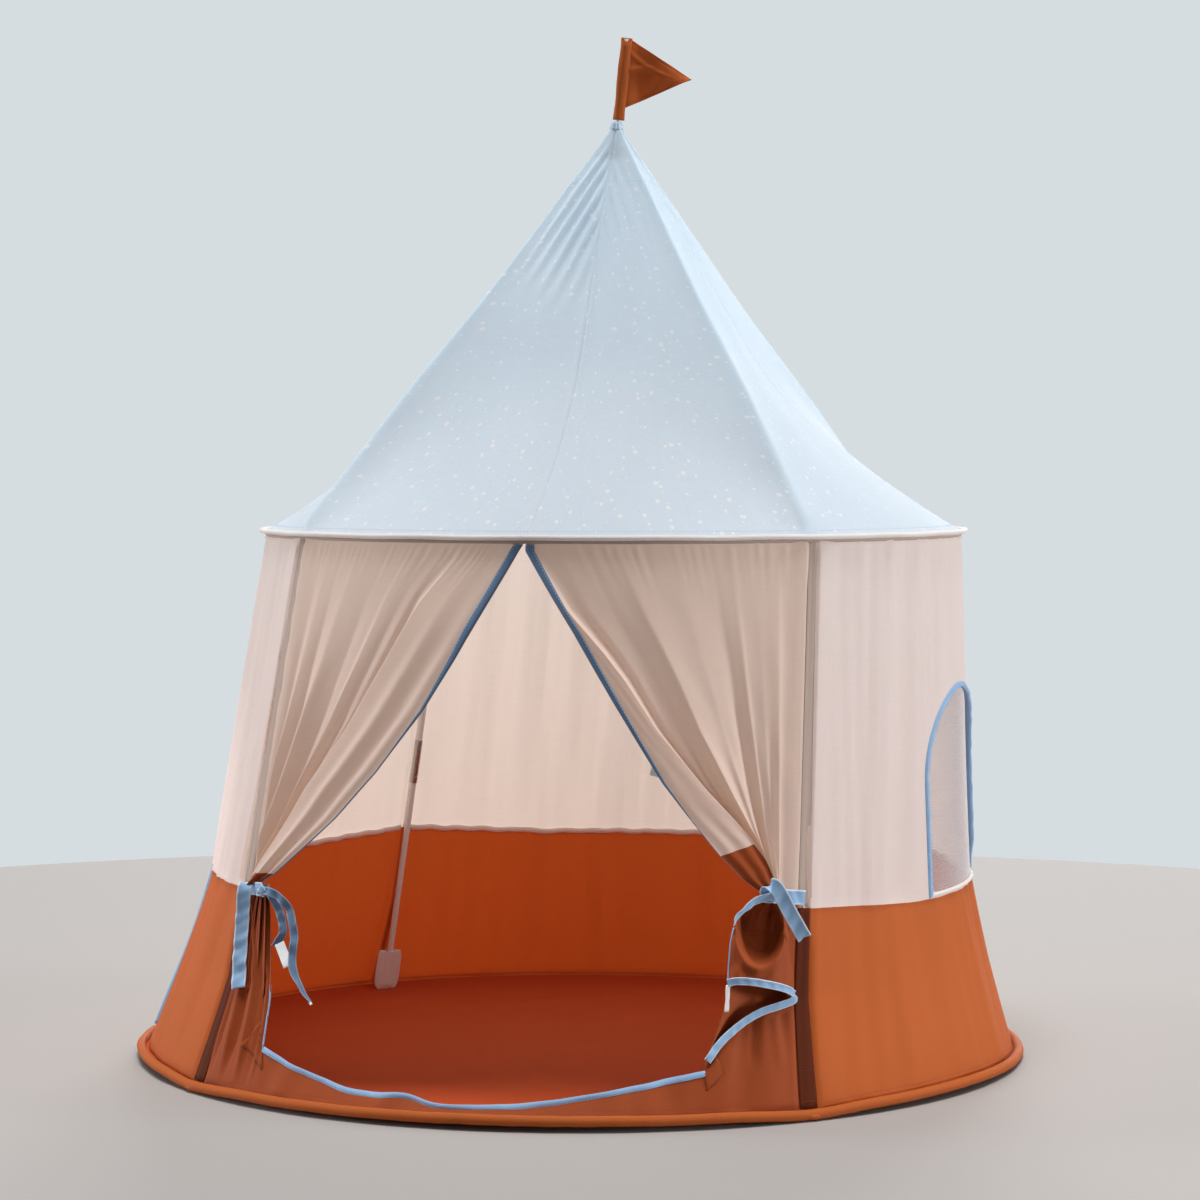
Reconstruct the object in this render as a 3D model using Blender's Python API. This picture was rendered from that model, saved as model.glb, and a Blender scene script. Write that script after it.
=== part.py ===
"""A child's round play tent, standing open: metres, +Z up, the door facing -Y.

The origin is the centre of the floor hoop, on the floor. Four jointed poles rise from pockets on the
groundsheet, bend at the eaves and meet in a hub under the roof's point. The cloth hangs over them and is
held round by two sprung hoops, each in its own channel, one at the eaves and one round the floor.
"""

import math

import bmesh
import bpy
from mathutils import Matrix, Vector

# Cloth, and the gaps that parts keep from each other.
CLOTH = 0.0012
GAP = 0.0003
OVERRUN = 0.004

# The floor hoop and its channel. The radius is the outer edge of the channel.
FLOOR_RADIUS = 0.600
FLOOR_CHANNEL_RADIUS = 0.0065

# The eaves hoop and its channel.
EAVES_RADIUS = 0.480
EAVES_CHANNEL_RADIUS = 0.0050
EAVES_HEIGHT = 0.705

# A channel is open on the side of the seam that it is sewn into.
CHANNEL_SIDES = 6
CHANNEL_MOUTH = math.radians(26)

# The roof's point, and how far the standing tent leans to +X there and at the eaves.
APEX_HEIGHT = 1.260
EAVES_LEAN = 0.0465
APEX_LEAN = 0.0505

# The seam between the pale wall and the rust skirt, and the skirt's flare.
SEAM_HEIGHT = 0.237
SEAM_RISE = 0.013
SEAM_SPREAD = math.radians(25)
SEAM_OUT_SHARE = 0.2917
SEAM_RADIUS = EAVES_RADIUS + SEAM_OUT_SHARE * (FLOOR_RADIUS - EAVES_RADIUS)
FLARE_SAG = 0.013

# The poles stand at these angles, measured from the door towards +X.
FLOOR_AZIMUTHS = tuple(map(math.radians, (42, 134, 226, 318)))
EAVES_AZIMUTHS = tuple(map(math.radians, (45, 135, 225, 315)))
CORNERS = ("front_right", "back_right", "back_left", "front_left")
DIVISIONS = 10
TURN = 2 * math.pi

# Poles: fibreglass rods joined by steel ferrules, with a bent one at the eaves.
ROD_RADIUS = 0.0045
FERRULE_RADIUS = 0.0055
FERRULE_BORE = ROD_RADIUS + GAP
FERRULE_LENGTH = 0.065
FERRULE_HEIGHT = 0.350
ROD_SIDES = 8
POLE_CLEARANCE = 0.0006
POLE_FOOT_INSET = 0.048
POLE_FOOT_RADIUS = FLOOR_RADIUS - POLE_FOOT_INSET
FOOT_LIFT = 0.0030
ELBOW_BEND = 0.030
ELBOW_LEG = 0.045
ELBOW_STEPS = 3
ELBOW_GRIP = 0.025
STOP = 0.001

# Fabric pockets that hold the feet of the poles.
POCKET_WIDTH = 0.040
POCKET_HEIGHT = 0.060
POCKET_CORNER = 0.009
POCKET_EDGE = 0.0024
POCKET_WALL = 0.0010
POCKET_BASE = 0.0012

# The hub: a plug that widens downwards, with a bore for each pole and one for the flag's stick.
HUB_RADIUS = 0.010
HUB_SPACE = 0.00257
HUB_FLARE_SHARE = 0.608
HUB_HEIGHT = 0.034
HUB_SIDES = 16

# The flag on its stick, which leans a little to +X.
STICK_RADIUS = 0.003
STICK_GRIP = 0.016
STICK_TILT = math.radians(6)
FLAG_HEADING = math.radians(13)
FLAG_LIFT = 0.024
SLEEVE_RADIUS = 0.0056
SLEEVE_LENGTH = 0.112
SLEEVE_SIDES = 10
PENNANT_REACH = 0.086
PENNANT_TOP_SHARE = 0.97
PENNANT_TIP_SHARE = 0.57
PENNANT_FOOT_SHARE = 0.16

# Tape that binds the cut edges, and the ribbons.
TAPE_WIDTH = 0.008
TAPE = 0.0024
EDGE_GAP = 0.0008
RIBBON_WIDTH = 0.018
RIBBON = 0.0014

# The door: a slit down the middle of the front and along the bottom, as shares of the
# corner angle and of the eaves height. The curtains are drawn aside and tied at the poles.
SLIT_HEIGHT = 0.068
SILL_HEIGHT = 0.030
RIGHT_SLIT_END = math.radians(29)
LEFT_SLIT_END = math.radians(31)
RIGHT_EDGE_SHARES = ((0.0, 1.0), (0.15, 0.870), (0.28, 0.755), (0.50, 0.591), (0.68, 0.451))
LEFT_EDGE_SHARES = ((0.0, 1.0), (0.16, 0.835), (0.30, 0.700), (0.53, 0.508), (0.775, 0.392))
RIGHT_FOOT_SHARE = 0.374
LEFT_FOOT_SHARE = 0.362
RIGHT_CREST_SHARE = 0.040
LEFT_CREST_SHARE = 0.008
CREST_AT_SHARE = 0.62
FOLDS = 4
FOLD_DEPTH = 0.005
CURTAIN_COLUMNS = 20
CURTAIN_ROWS = 11

# The gathered tails: (height, inner angle, outer angle, stand-off) as shares of the eaves height,
# of the corner angle twice, and of the tail's full stand-off from the wall.
TAIL_STAND_OFF = 0.015
TAIL_DEPTH = 0.0035
RIGHT_TAIL_SHARES = (
    (0.413, 0.775, 0.865, 0.55),
    (0.391, 0.825, 0.895, 1.00),
    (0.366, 0.825, 0.895, 1.00),
    (0.335, 0.765, 0.905, 1.00),
    (0.285, 0.730, 0.915, 0.90),
    (0.232, 0.722, 0.915, 0.85),
)
LEFT_TAIL_SHARES = (
    (0.384, 0.855, 0.920, 0.55),
    (0.374, 0.885, 0.945, 1.00),
    (0.350, 0.885, 0.945, 1.00),
    (0.310, 0.870, 0.955, 1.00),
    (0.240, 0.835, 0.950, 0.80),
    (0.180, 0.800, 0.940, 0.75),
)
TAIL_COLUMNS = 12
TAIL_ROWS = 10
TAIL_FOLDS = 2.5
RIGHT_TIE_SHARE = 0.379
LEFT_TIE_SHARE = 0.362

# The jambs beside the opening, from the slit's end up to the tie: (height, angle) shares.
RIGHT_JAMB_SHARES = ((0.17, 0.69), (0.23, 0.72), (0.284, 0.745), (0.34, 0.80), (0.368, 0.855))
LEFT_JAMB_SHARES = ((0.17, 0.735), (0.23, 0.775), (0.284, 0.82), (0.33, 0.87), (0.350, 0.90))
JAMB_COLUMNS = 6
JAMB_FOLD = 0.002

# The ties: a ring round the gathered cloth, a knot, a band to the pole seam and a hanging end.
RING_MARGINS = {"right": 0.0012, "left": 0.0022}
RING_HEIGHT = 0.012
RING_SIDES = 14
KNOT_WIDTH = 0.016
KNOT_DEPTH = 0.008
KNOT_SIDE_SHARE = 0.5
BAND_FOOT = 0.006
RIGHT_RIBBON_SHARES = ((0.362, 0.925, 1.75), (0.330, 0.955, 1.60), (0.300, 0.980, 1.40))
LEFT_RIBBON_SHARES = ((0.335, 0.945, 1.75), (0.260, 0.915, 1.50), (0.185, 0.882, 1.35))

# The window on the right side: an arch filled with netting.
WINDOW_WIDTH = 0.280
WINDOW_MIDDLE = -0.025
WINDOW_HEIGHT = 0.262
WINDOW_ARCH = 0.120
ARCH_STEPS = 12
NET = 0.0008
NET_COLUMNS = 10
NET_ROWS = 9
NET_WIRE = 0.0030

# The bound flap down the left side.
STRIP_AZIMUTH = math.radians(279.4)
STRIP_WIDTH = 0.010
STRIP = 0.0035
STRIP_FOOT = 0.022
STRIP_ROWS = 16

# The binding's lower edge stands on the skirt's seam.
WINDOW_FOOT = SEAM_HEIGHT + 2 * GAP + TAPE_WIDTH / 2

# Where each seam's cloth meets its channel.
EAVES_SEAM_RADIUS = EAVES_RADIUS - 2 * EAVES_CHANNEL_RADIUS - GAP
FLOOR_SEAM_RADIUS = FLOOR_RADIUS - 2 * FLOOR_CHANNEL_RADIUS - GAP
FLOOR_SEAM_HEIGHT = FLOOR_CHANNEL_RADIUS
SLOPE = EAVES_SEAM_RADIUS / (APEX_HEIGHT - EAVES_HEIGHT)
HUB_BELOW_POINT = (HUB_RADIUS + HUB_SPACE) / (SLOPE * math.cos(math.pi / len(CORNERS)))
HUB_FOOT_RADIUS = HUB_RADIUS + HUB_FLARE_SHARE * SLOPE * HUB_HEIGHT
ROUND_SHARE = 0.45
ROUND_POWER = 2.15
CORNER_SPREAD = math.radians(20)

# The hoops have flat facets. Finer sheets that meet them stay inside by the depth of a facet.
FACET = math.pi / (len(CORNERS) * DIVISIONS)
EAVES_FACET_DEPTH = EAVES_RADIUS * (1 - math.cos(FACET))
FLOOR_FACET_DEPTH = FLOOR_RADIUS * (1 - math.cos(FACET))


def srgb(red, green, blue):
    """The linear colour of an 8-bit one."""
    return tuple(
        (c / 255 / 12.92) if c <= 10 else ((c / 255 + 0.055) / 1.055) ** 2.4
        for c in (red, green, blue)
    ) + (1.0,)


MATERIALS = {
    "blue_cloth": (srgb(196, 216, 234), 0.85, 0.0),
    "pale_cloth": (srgb(222, 205, 192), 0.85, 0.0),
    "rust_cloth": (srgb(178, 88, 48), 0.85, 0.0),
    "floor_cloth": (srgb(140, 66, 44), 0.80, 0.0),
    "blue_tape": (srgb(150, 184, 222), 0.80, 0.0),
    "netting": (srgb(205, 190, 195), 0.80, 0.0),
    "pocket_cloth": (srgb(150, 122, 116), 0.85, 0.0),
    "fibreglass": (srgb(150, 142, 132), 0.45, 0.0),
    "steel": (srgb(170, 168, 165), 0.25, 1.0),
    "spring_steel": (srgb(120, 118, 116), 0.35, 1.0),
    "hub_plastic": (srgb(60, 60, 62), 0.55, 0.0),
    "stick_plastic": (srgb(230, 228, 222), 0.50, 0.0),
}


def clear_scene():
    for obj in list(bpy.data.objects):
        bpy.data.objects.remove(obj, do_unlink=True)


def material(name):
    found = bpy.data.materials.get(name)
    if found:
        return found
    colour, roughness, metallic = MATERIALS[name]
    made = bpy.data.materials.new(name)
    made.use_nodes = True
    shader = made.node_tree.nodes["Principled BSDF"]
    shader.inputs["Base Color"].default_value = colour
    shader.inputs["Roughness"].default_value = roughness
    shader.inputs["Metallic"].default_value = metallic
    made.diffuse_color = colour
    return made


def lerp(start, end, share):
    return start + (end - start) * share


def smooth(share):
    share = min(1.0, max(0.0, share))
    return share * share * (3 - 2 * share)


def lean_at(height):
    """The floor hoop lies flat, and the walls lean from there up."""
    if height < EAVES_HEIGHT:
        free = 2 * FLOOR_CHANNEL_RADIUS
        return EAVES_LEAN * max(0.0, height - free) / (EAVES_HEIGHT - free)
    return lerp(EAVES_LEAN, APEX_LEAN, (height - EAVES_HEIGHT) / (APEX_HEIGHT - EAVES_HEIGHT))


def place(radius, azimuth, height):
    """The point at this distance from the tent's leaning axis."""
    return Vector(
        (radius * math.sin(azimuth) + lean_at(height), -radius * math.cos(azimuth), height)
    )


def radial(azimuth):
    return Vector((math.sin(azimuth), -math.cos(azimuth), 0))


def corner_azimuth(corner, height):
    share = min(1.0, max(0.0, height / EAVES_HEIGHT))
    turns, corner = divmod(corner, len(CORNERS))
    return lerp(FLOOR_AZIMUTHS[corner], EAVES_AZIMUTHS[corner], share) + turns * TURN


def panel_azimuth(corner, across, height):
    """The angle this share of the way across the wall that starts at this corner."""
    return lerp(corner_azimuth(corner, height), corner_azimuth(corner + 1, height), across)


def ring_azimuths(height):
    return [
        panel_azimuth(corner, step / DIVISIONS, height)
        for corner in range(len(CORNERS))
        for step in range(DIVISIONS)
    ]


# The poles' two straight lines cross at the elbow. The roof's one lies under the ridge of two flat
# faces, far enough down for a ferrule to clear both.
RIDGE_HALF_ANGLE = (math.pi - math.acos(SLOPE**2 / (2 + SLOPE**2))) / 2
RIDGE_DROP = (FERRULE_RADIUS + POLE_CLEARANCE + CLOTH) / math.sin(RIDGE_HALF_ANGLE)
POLE_POINT_HEIGHT = APEX_HEIGHT - RIDGE_DROP / math.sin(math.atan(SLOPE))
WALL_POLE_EAVES_RADIUS = EAVES_SEAM_RADIUS - CLOTH - POLE_CLEARANCE - FERRULE_RADIUS
WALL_SLOPE = (WALL_POLE_EAVES_RADIUS - POLE_FOOT_RADIUS) / EAVES_HEIGHT
ELBOW_HEIGHT = (SLOPE * POLE_POINT_HEIGHT - POLE_FOOT_RADIUS) / (SLOPE + WALL_SLOPE)


def wall_pole_radius(height):
    return POLE_FOOT_RADIUS + WALL_SLOPE * height


def roof_pole_radius(height):
    return SLOPE * (POLE_POINT_HEIGHT - height)


def mid_radius(height):
    """The wall's outer radius half way between two poles."""
    if height >= SEAM_HEIGHT:
        share = (height - SEAM_HEIGHT) / (EAVES_HEIGHT - SEAM_HEIGHT)
        return lerp(SEAM_RADIUS, EAVES_SEAM_RADIUS, share)
    drop = (SEAM_HEIGHT - height) / (SEAM_HEIGHT - FLOOR_SEAM_HEIGHT)
    return lerp(SEAM_RADIUS, FLOOR_SEAM_RADIUS, drop) - FLARE_SAG * drop * (1 - drop)


def off_corner(azimuth, height):
    """The angle to the nearest pole line."""
    return min(
        abs((azimuth - corner_azimuth(corner, height) + math.pi) % TURN - math.pi)
        for corner in range(len(CORNERS))
    )


def wall_radius(azimuth, height):
    """The wall's outer radius, which the poles push out a little at the corners."""
    middle = mid_radius(height)
    corner = wall_pole_radius(height) + FERRULE_RADIUS + POLE_CLEARANCE + CLOTH
    near = max(0.0, 1 - off_corner(azimuth, height) / CORNER_SPREAD) ** 2
    return middle + max(0.0, corner - middle) * near


def wall_point(azimuth, height, proud=0.0):
    return place(wall_radius(azimuth, height) + proud, azimuth, height)


def seam_height(azimuth):
    """The pale and rust cloth's seam, which the poles pull up at the corners."""
    near = max(0.0, 1 - off_corner(azimuth, SEAM_HEIGHT) / SEAM_SPREAD)
    return SEAM_HEIGHT + SEAM_RISE * near


def roof_radius(azimuth, height):
    """Straight ridges over the poles, flat faces between them, and a round foot at the hoop."""
    share = (height - EAVES_HEIGHT) / (APEX_HEIGHT - EAVES_HEIGHT)
    ridge = EAVES_SEAM_RADIUS * (1 - share)
    quarter = math.pi / len(CORNERS)
    off_middle = quarter - off_corner(azimuth, EAVES_HEIGHT)
    chord = ridge * math.cos(quarter) / math.cos(off_middle)
    roundness = max(0.0, 1 - share / ROUND_SHARE) ** ROUND_POWER / max(ROUND_SHARE, 1 - share)
    return chord + roundness * (ridge - chord)


# Builders


def add(name, mesh, look, matrix=None, parent=None):
    mesh.materials.clear()
    mesh.materials.append(material(look))
    obj = bpy.data.objects.new(name, mesh)
    bpy.context.scene.collection.objects.link(obj)
    obj.matrix_world = matrix or Matrix()
    if parent:
        obj.parent = parent
        obj.matrix_parent_inverse = parent.matrix_world.inverted()
    return obj


def finish_mesh(name, bm, smooth_angle=math.radians(35)):
    mesh = bpy.data.meshes.new(name)
    bm.to_mesh(mesh)
    bm.free()
    mesh.shade_smooth()
    mesh.set_sharp_from_angle(angle=smooth_angle)
    return mesh


def grid_mesh(name, grids, back, matrix=None):
    """One sheet from one or more grids of points, its faces turned away from the point back."""
    bm = bmesh.new()
    for rows in grids:
        corners = [[bm.verts.new(point) for point in row] for row in rows]
        for upper, lower in zip(corners, corners[1:]):
            for i in range(len(upper) - 1):
                bm.faces.new((upper[i], upper[i + 1], lower[i + 1], lower[i]))
    bmesh.ops.remove_doubles(bm, verts=bm.verts, dist=GAP / 10)
    bmesh.ops.recalc_face_normals(bm, faces=bm.faces)
    bm.normal_update()
    outwards = sum((f.calc_center_median() - back).dot(f.normal) for f in bm.faces)
    if outwards < 0:
        bmesh.ops.reverse_faces(bm, faces=bm.faces)
    if matrix:
        bmesh.ops.transform(bm, matrix=matrix, verts=bm.verts)
    return finish_mesh(name, bm)


def thicken(obj, thickness, offset=-1.0):
    solidify = obj.modifiers.new("thickness", "SOLIDIFY")
    solidify.thickness = thickness
    solidify.offset = offset
    return obj


def cloth(name, rows, look, thickness=CLOTH, offset=-1.0, parent=None):
    """A sheet that faces away from the tent's axis."""
    grids = rows if isinstance(rows[0][0], list) else [rows]
    first = grids[0][0][0]
    back = Vector((lean_at(first.z), 0, first.z - EAVES_HEIGHT))
    return thicken(add(name, grid_mesh(name, grids, back), look, parent=parent), thickness, offset)


def loop_mesh(name, sections, closed_path, caps=True):
    """A tube through sections, which are rings of equally many points."""
    bm = bmesh.new()
    rings = [[bm.verts.new(point) for point in section] for section in sections]
    pairs = list(zip(rings, rings[1:]))
    if closed_path:
        pairs.append((rings[-1], rings[0]))
    for ring, after in pairs:
        for i, vertex in enumerate(ring):
            j = (i + 1) % len(ring)
            bm.faces.new((vertex, ring[j], after[j], after[i]))
    if caps and not closed_path:
        bm.faces.new(rings[0][::-1])
        bm.faces.new(rings[-1])
    bmesh.ops.recalc_face_normals(bm, faces=bm.faces)
    return finish_mesh(name, bm)


def turned_mesh(name, profile, sides):
    """A solid turned about +Z from a closed profile of (radius, height) points."""
    bm = bmesh.new()
    rings = []
    for radius, height in profile:
        if radius == 0:
            rings.append([bm.verts.new((0, 0, height))])
            continue
        rings.append(
            [
                bm.verts.new((radius * math.cos(a), radius * math.sin(a), height))
                for a in (TURN * i / sides for i in range(sides))
            ]
        )
    for ring, after in zip(rings, rings[1:] + rings[:1]):
        if len(ring) == 1 and len(after) == 1:
            continue
        for i in range(sides):
            j = (i + 1) % sides
            if len(ring) == 1:
                bm.faces.new((ring[0], after[j], after[i]))
            elif len(after) == 1:
                bm.faces.new((ring[i], ring[j], after[0]))
            else:
                bm.faces.new((ring[i], ring[j], after[j], after[i]))
    bmesh.ops.recalc_face_normals(bm, faces=bm.faces)
    return finish_mesh(name, bm)


def frame(origin, along, side):
    """A matrix with +Z along the first direction and +X near the second."""
    z = along.normalized()
    x = (side - z * side.dot(z)).normalized()
    y = z.cross(x)
    turn = Matrix((x, y, z)).transposed().to_4x4()
    return Matrix.Translation(origin) @ turn


def boolean(obj, other, operation):
    step = obj.modifiers.new(operation.lower(), "BOOLEAN")
    step.operation = operation
    step.object = other
    other.hide_render = True
    other.display_type = "WIRE"
    return obj


def prism_mesh(name, outline, depth, matrix=None):
    """An outline of (x, y) points, extruded half the depth to each side of z = 0."""
    bm = bmesh.new()
    lower = [bm.verts.new((x, y, -depth / 2)) for x, y in outline]
    upper = [bm.verts.new((x, y, depth / 2)) for x, y in outline]
    bm.faces.new(lower[::-1])
    bm.faces.new(upper)
    for i in range(len(outline)):
        j = (i + 1) % len(outline)
        bm.faces.new((lower[i], lower[j], upper[j], upper[i]))
    bmesh.ops.recalc_face_normals(bm, faces=bm.faces)
    if matrix:
        bmesh.ops.transform(bm, matrix=matrix, verts=bm.verts)
    return finish_mesh(name, bm)


# Hoops, channels and groundsheet


def hoop_section(azimuth, centre_radius, centre_height, radius, angles):
    return [
        place(centre_radius + radius * math.cos(a), azimuth, centre_height + radius * math.sin(a))
        for a in angles
    ]


def make_hoop(name, hoop_radius, channel_radius, height, look):
    """A sprung rod, and the cloth channel that is closed round it but for its seam."""
    centre = hoop_radius - channel_radius
    step = (TURN - CHANNEL_MOUTH) / CHANNEL_SIDES
    angles = [math.pi + CHANNEL_MOUTH / 2 + step * i for i in range(CHANNEL_SIDES + 1)]
    azimuths = ring_azimuths(height)
    inner = channel_radius - CLOTH
    rod = [hoop_section(a, centre, height, inner - GAP, angles) for a in azimuths]
    channel = [
        hoop_section(a, centre, height, channel_radius, angles)
        + hoop_section(a, centre, height, inner, angles[::-1])
        for a in azimuths
    ]
    add(name + "_hoop", loop_mesh(name + "_hoop", rod, True), "spring_steel")
    add(name + "_channel", loop_mesh(name + "_channel", channel, True), look)


def make_groundsheet():
    """A flat disc whose edge turns up to the floor channel's seam."""
    rim_height = FLOOR_SEAM_HEIGHT - CLOTH
    flat = FLOOR_SEAM_RADIUS - rim_height
    azimuths = ring_azimuths(0)
    bm = bmesh.new()
    rings = []
    for radius, height in (
        (flat, 0.0),
        (FLOOR_SEAM_RADIUS, rim_height),
        (FLOOR_SEAM_RADIUS - CLOTH, rim_height),
        (flat - CLOTH / 2, CLOTH),
    ):
        rings.append([bm.verts.new(place(radius, a, height)) for a in azimuths])
    for ring, after in zip(rings, rings[1:]):
        for i in range(len(ring)):
            j = (i + 1) % len(ring)
            bm.faces.new((ring[i], ring[j], after[j], after[i]))
    bm.faces.new(rings[0][::-1])
    bm.faces.new(rings[-1])
    bmesh.ops.recalc_face_normals(bm, faces=bm.faces)
    add("groundsheet", finish_mesh("groundsheet", bm), "floor_cloth")


# Roof, walls and skirts


def across_shares(count, width):
    """Shares across a panel of this width, kept half a gap from both of its seams."""
    margin = GAP / width
    return [lerp(margin, 1 - margin, i / count) for i in range(count + 1)]


def make_roof():
    quarter = TURN / len(CORNERS)
    top = APEX_HEIGHT - (STICK_RADIUS + SLEEVE_RADIUS) / SLOPE
    rise = top - EAVES_HEIGHT - CLOTH
    shares = [0.0, 0.04, 0.09, 0.15, 0.22, 0.31, 0.42, 0.56, 0.72, 0.88, 1.0]
    for corner, label in enumerate(CORNERS):
        middle = EAVES_AZIMUTHS[corner]
        rows = []
        for share in shares:
            height = EAVES_HEIGHT + GAP + CLOTH + rise * share
            width = roof_radius(middle, height) * quarter
            rows.append(
                [
                    place(roof_radius(a, height), a, height)
                    for a in (
                        middle + quarter * (across - 1 / 2)
                        for across in across_shares(DIVISIONS, width)
                    )
                ]
            )
        cloth("roof_" + label, rows, "blue_cloth")


def panel_rows(corner, low, high, count):
    """Rows of the wall from one pole line to the next, between two heights given by angle."""
    rows = []
    width = SEAM_RADIUS * TURN / len(CORNERS)
    for step in range(count + 1):
        row = []
        for across in across_shares(DIVISIONS, width):
            azimuth = panel_azimuth(corner, across, EAVES_HEIGHT / 2)
            height = lerp(high(azimuth), low(azimuth), step / count)
            row.append(wall_point(panel_azimuth(corner, across, height), height))
        rows.append(row)
    return rows


def under_eaves(_azimuth):
    return EAVES_HEIGHT - GAP


def above_floor(_azimuth):
    return FLOOR_SEAM_HEIGHT


def above_seam(azimuth):
    return seam_height(azimuth) + GAP


def below_seam(azimuth):
    return seam_height(azimuth) - GAP


def make_walls():
    sides = {"right": 0, "back": 1, "left": 2}
    made = {}
    for label, corner in sides.items():
        rows = panel_rows(corner, above_seam, under_eaves, 7)
        made[label] = cloth("wall_" + label, rows, "pale_cloth")
        rows = panel_rows(corner, above_floor, below_seam, 5)
        cloth("skirt_" + label, rows[::-1], "rust_cloth")
    return made


# Window


def arch_points(inset, below=0.0):
    """The arch's outline from its right foot over the top to its left foot, as (y, z)."""
    half = WINDOW_WIDTH / 2 - inset
    foot = WINDOW_FOOT + inset - below
    spring = WINDOW_FOOT + WINDOW_HEIGHT - WINDOW_ARCH
    points = [(WINDOW_MIDDLE + half, foot)]
    for step in range(ARCH_STEPS + 1):
        angle = math.pi * step / ARCH_STEPS
        across = WINDOW_MIDDLE + half * math.cos(angle)
        points.append((across, spring + (WINDOW_ARCH - inset) * math.sin(angle)))
    points.append((WINDOW_MIDDLE - half, foot))
    return points


def right_wall_x(y, height):
    """The right wall's outer face at this y: azimuth and radius are found in turn."""
    azimuth = math.pi / 2
    for _ in range(12):
        azimuth = math.acos(max(-1.0, min(1.0, -y / wall_radius(azimuth, height))))
    return wall_point(azimuth, height).x


def window_prism(name, inset, reach, below=0.0):
    """A helper that runs through the right wall along X."""
    middle = EAVES_RADIUS + lean_at(SEAM_HEIGHT)
    turn = Matrix(((0, 0, 1, middle), (1, 0, 0, 0), (0, 1, 0, 0), (0, 0, 0, 1)))
    return add(name, prism_mesh(name, arch_points(inset, below), reach, turn), "blue_tape")


def make_window(wall):
    reach = EAVES_RADIUS / 2
    half = TAPE_WIDTH / 2
    cutter = window_prism("window_cutter", -half - GAP, reach, OVERRUN)
    boolean(wall, cutter, "DIFFERENCE")
    sections = []
    outer = arch_points(-half)
    inner = arch_points(half)
    for (y_out, z_out), (y_in, z_in) in zip(outer, inner):
        proud = (TAPE - CLOTH) / 2
        out_x = right_wall_x(y_out, z_out)
        in_x = right_wall_x(y_in, z_in)
        sections.append(
            [
                Vector((out_x + proud, y_out, z_out)),
                Vector((in_x + proud, y_in, z_in)),
                Vector((in_x + proud - TAPE, y_in, z_in)),
                Vector((out_x + proud - TAPE, y_out, z_out)),
            ]
        )
    foot = [
        [point.lerp(end, share) for point, end in zip(sections[-1], sections[0])]
        for share in (1 / 6, 2 / 6, 3 / 6, 4 / 6, 5 / 6)
    ]
    for section in foot:
        for i, point in enumerate(section):
            proud = (TAPE - CLOTH) / 2 - (0 if i < 2 else TAPE)
            point.x = right_wall_x(point.y, point.z) + proud
    add("window_binding", loop_mesh("window_binding", sections + foot, True), "blue_tape")
    make_netting(reach)


def make_netting(reach):
    """A sheet of netting inside the arch, with square holes."""
    inset = TAPE_WIDTH / 2 + GAP
    half = WINDOW_WIDTH / 2
    foot = WINDOW_FOOT
    rows = []
    for share in (1.1, 0.5, -0.1):
        height = foot + WINDOW_HEIGHT * share
        rows.append(
            [
                Vector((right_wall_x(y, height) - CLOTH / 2, y, height))
                for y in (WINDOW_MIDDLE + half * 1.1 * (i / 5 - 1) for i in range(11))
            ]
        )
    back = Vector((0, 0, foot))
    net = add("window_net", grid_mesh("window_net", [rows], back), "netting")
    thicken(net, NET, 0.0)
    boolean(net, window_prism("net_outline", inset, reach), "INTERSECT")
    pitch_y = (2 * (half - inset) - NET_WIRE) / NET_COLUMNS
    pitch_z = (WINDOW_HEIGHT - 2 * inset - NET_WIRE) / NET_ROWS
    bm = bmesh.new()
    for column in range(NET_COLUMNS):
        for row in range(NET_ROWS):
            y = WINDOW_MIDDLE - half + inset + NET_WIRE + pitch_y * column
            z = foot + inset + NET_WIRE + pitch_z * row
            wide = pitch_y - NET_WIRE
            tall = pitch_z - NET_WIRE
            middle = Vector((EAVES_RADIUS + lean_at(z), y + wide / 2, z + tall / 2))
            size = Matrix.Diagonal((reach, wide, tall, 1))
            bmesh.ops.create_cube(bm, size=1.0, matrix=Matrix.Translation(middle) @ size)
    holes = add("net_holes", finish_mesh("net_holes", bm), "netting")
    boolean(holes, window_prism("net_border", inset + NET_WIRE * 4 / 5, 2 * reach), "INTERSECT")
    boolean(net, holes, "DIFFERENCE")


# Side flap


def make_side_strip():
    rows = []
    for step in range(STRIP_ROWS + 1):
        height = lerp(EAVES_HEIGHT - EAVES_CHANNEL_RADIUS * 2, STRIP_FOOT, step / STRIP_ROWS)
        radius = wall_radius(STRIP_AZIMUTH, height) + GAP + STRIP
        half = STRIP_WIDTH / 2 / radius
        rows.append([place(radius, STRIP_AZIMUTH + side * half, height) for side in (-1, 1)])
    cloth("side_strip", rows, "blue_tape", thickness=STRIP)


# Door


def along(points, share):
    """The point this share of the way along a route through equally spaced points."""
    at = share * (len(points) - 1)
    i = min(int(at), len(points) - 2)
    return [lerp(start, end, at - i) for start, end in zip(points[i], points[i + 1])]


def tucked(azimuth, height, depth):
    """How far a sheet lies inside a hoop's facets, which have no depth at the poles."""
    share = min(1.0, off_corner(azimuth, height) / FACET)
    return -(depth + GAP) * share * (2 - share)


def door_corner(side, height):
    """The size of the angle from the middle of the door to its pole line."""
    corner = 0 if side > 0 else 3
    azimuth = corner_azimuth(corner, height)
    return azimuth if side > 0 else TURN - azimuth


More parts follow.
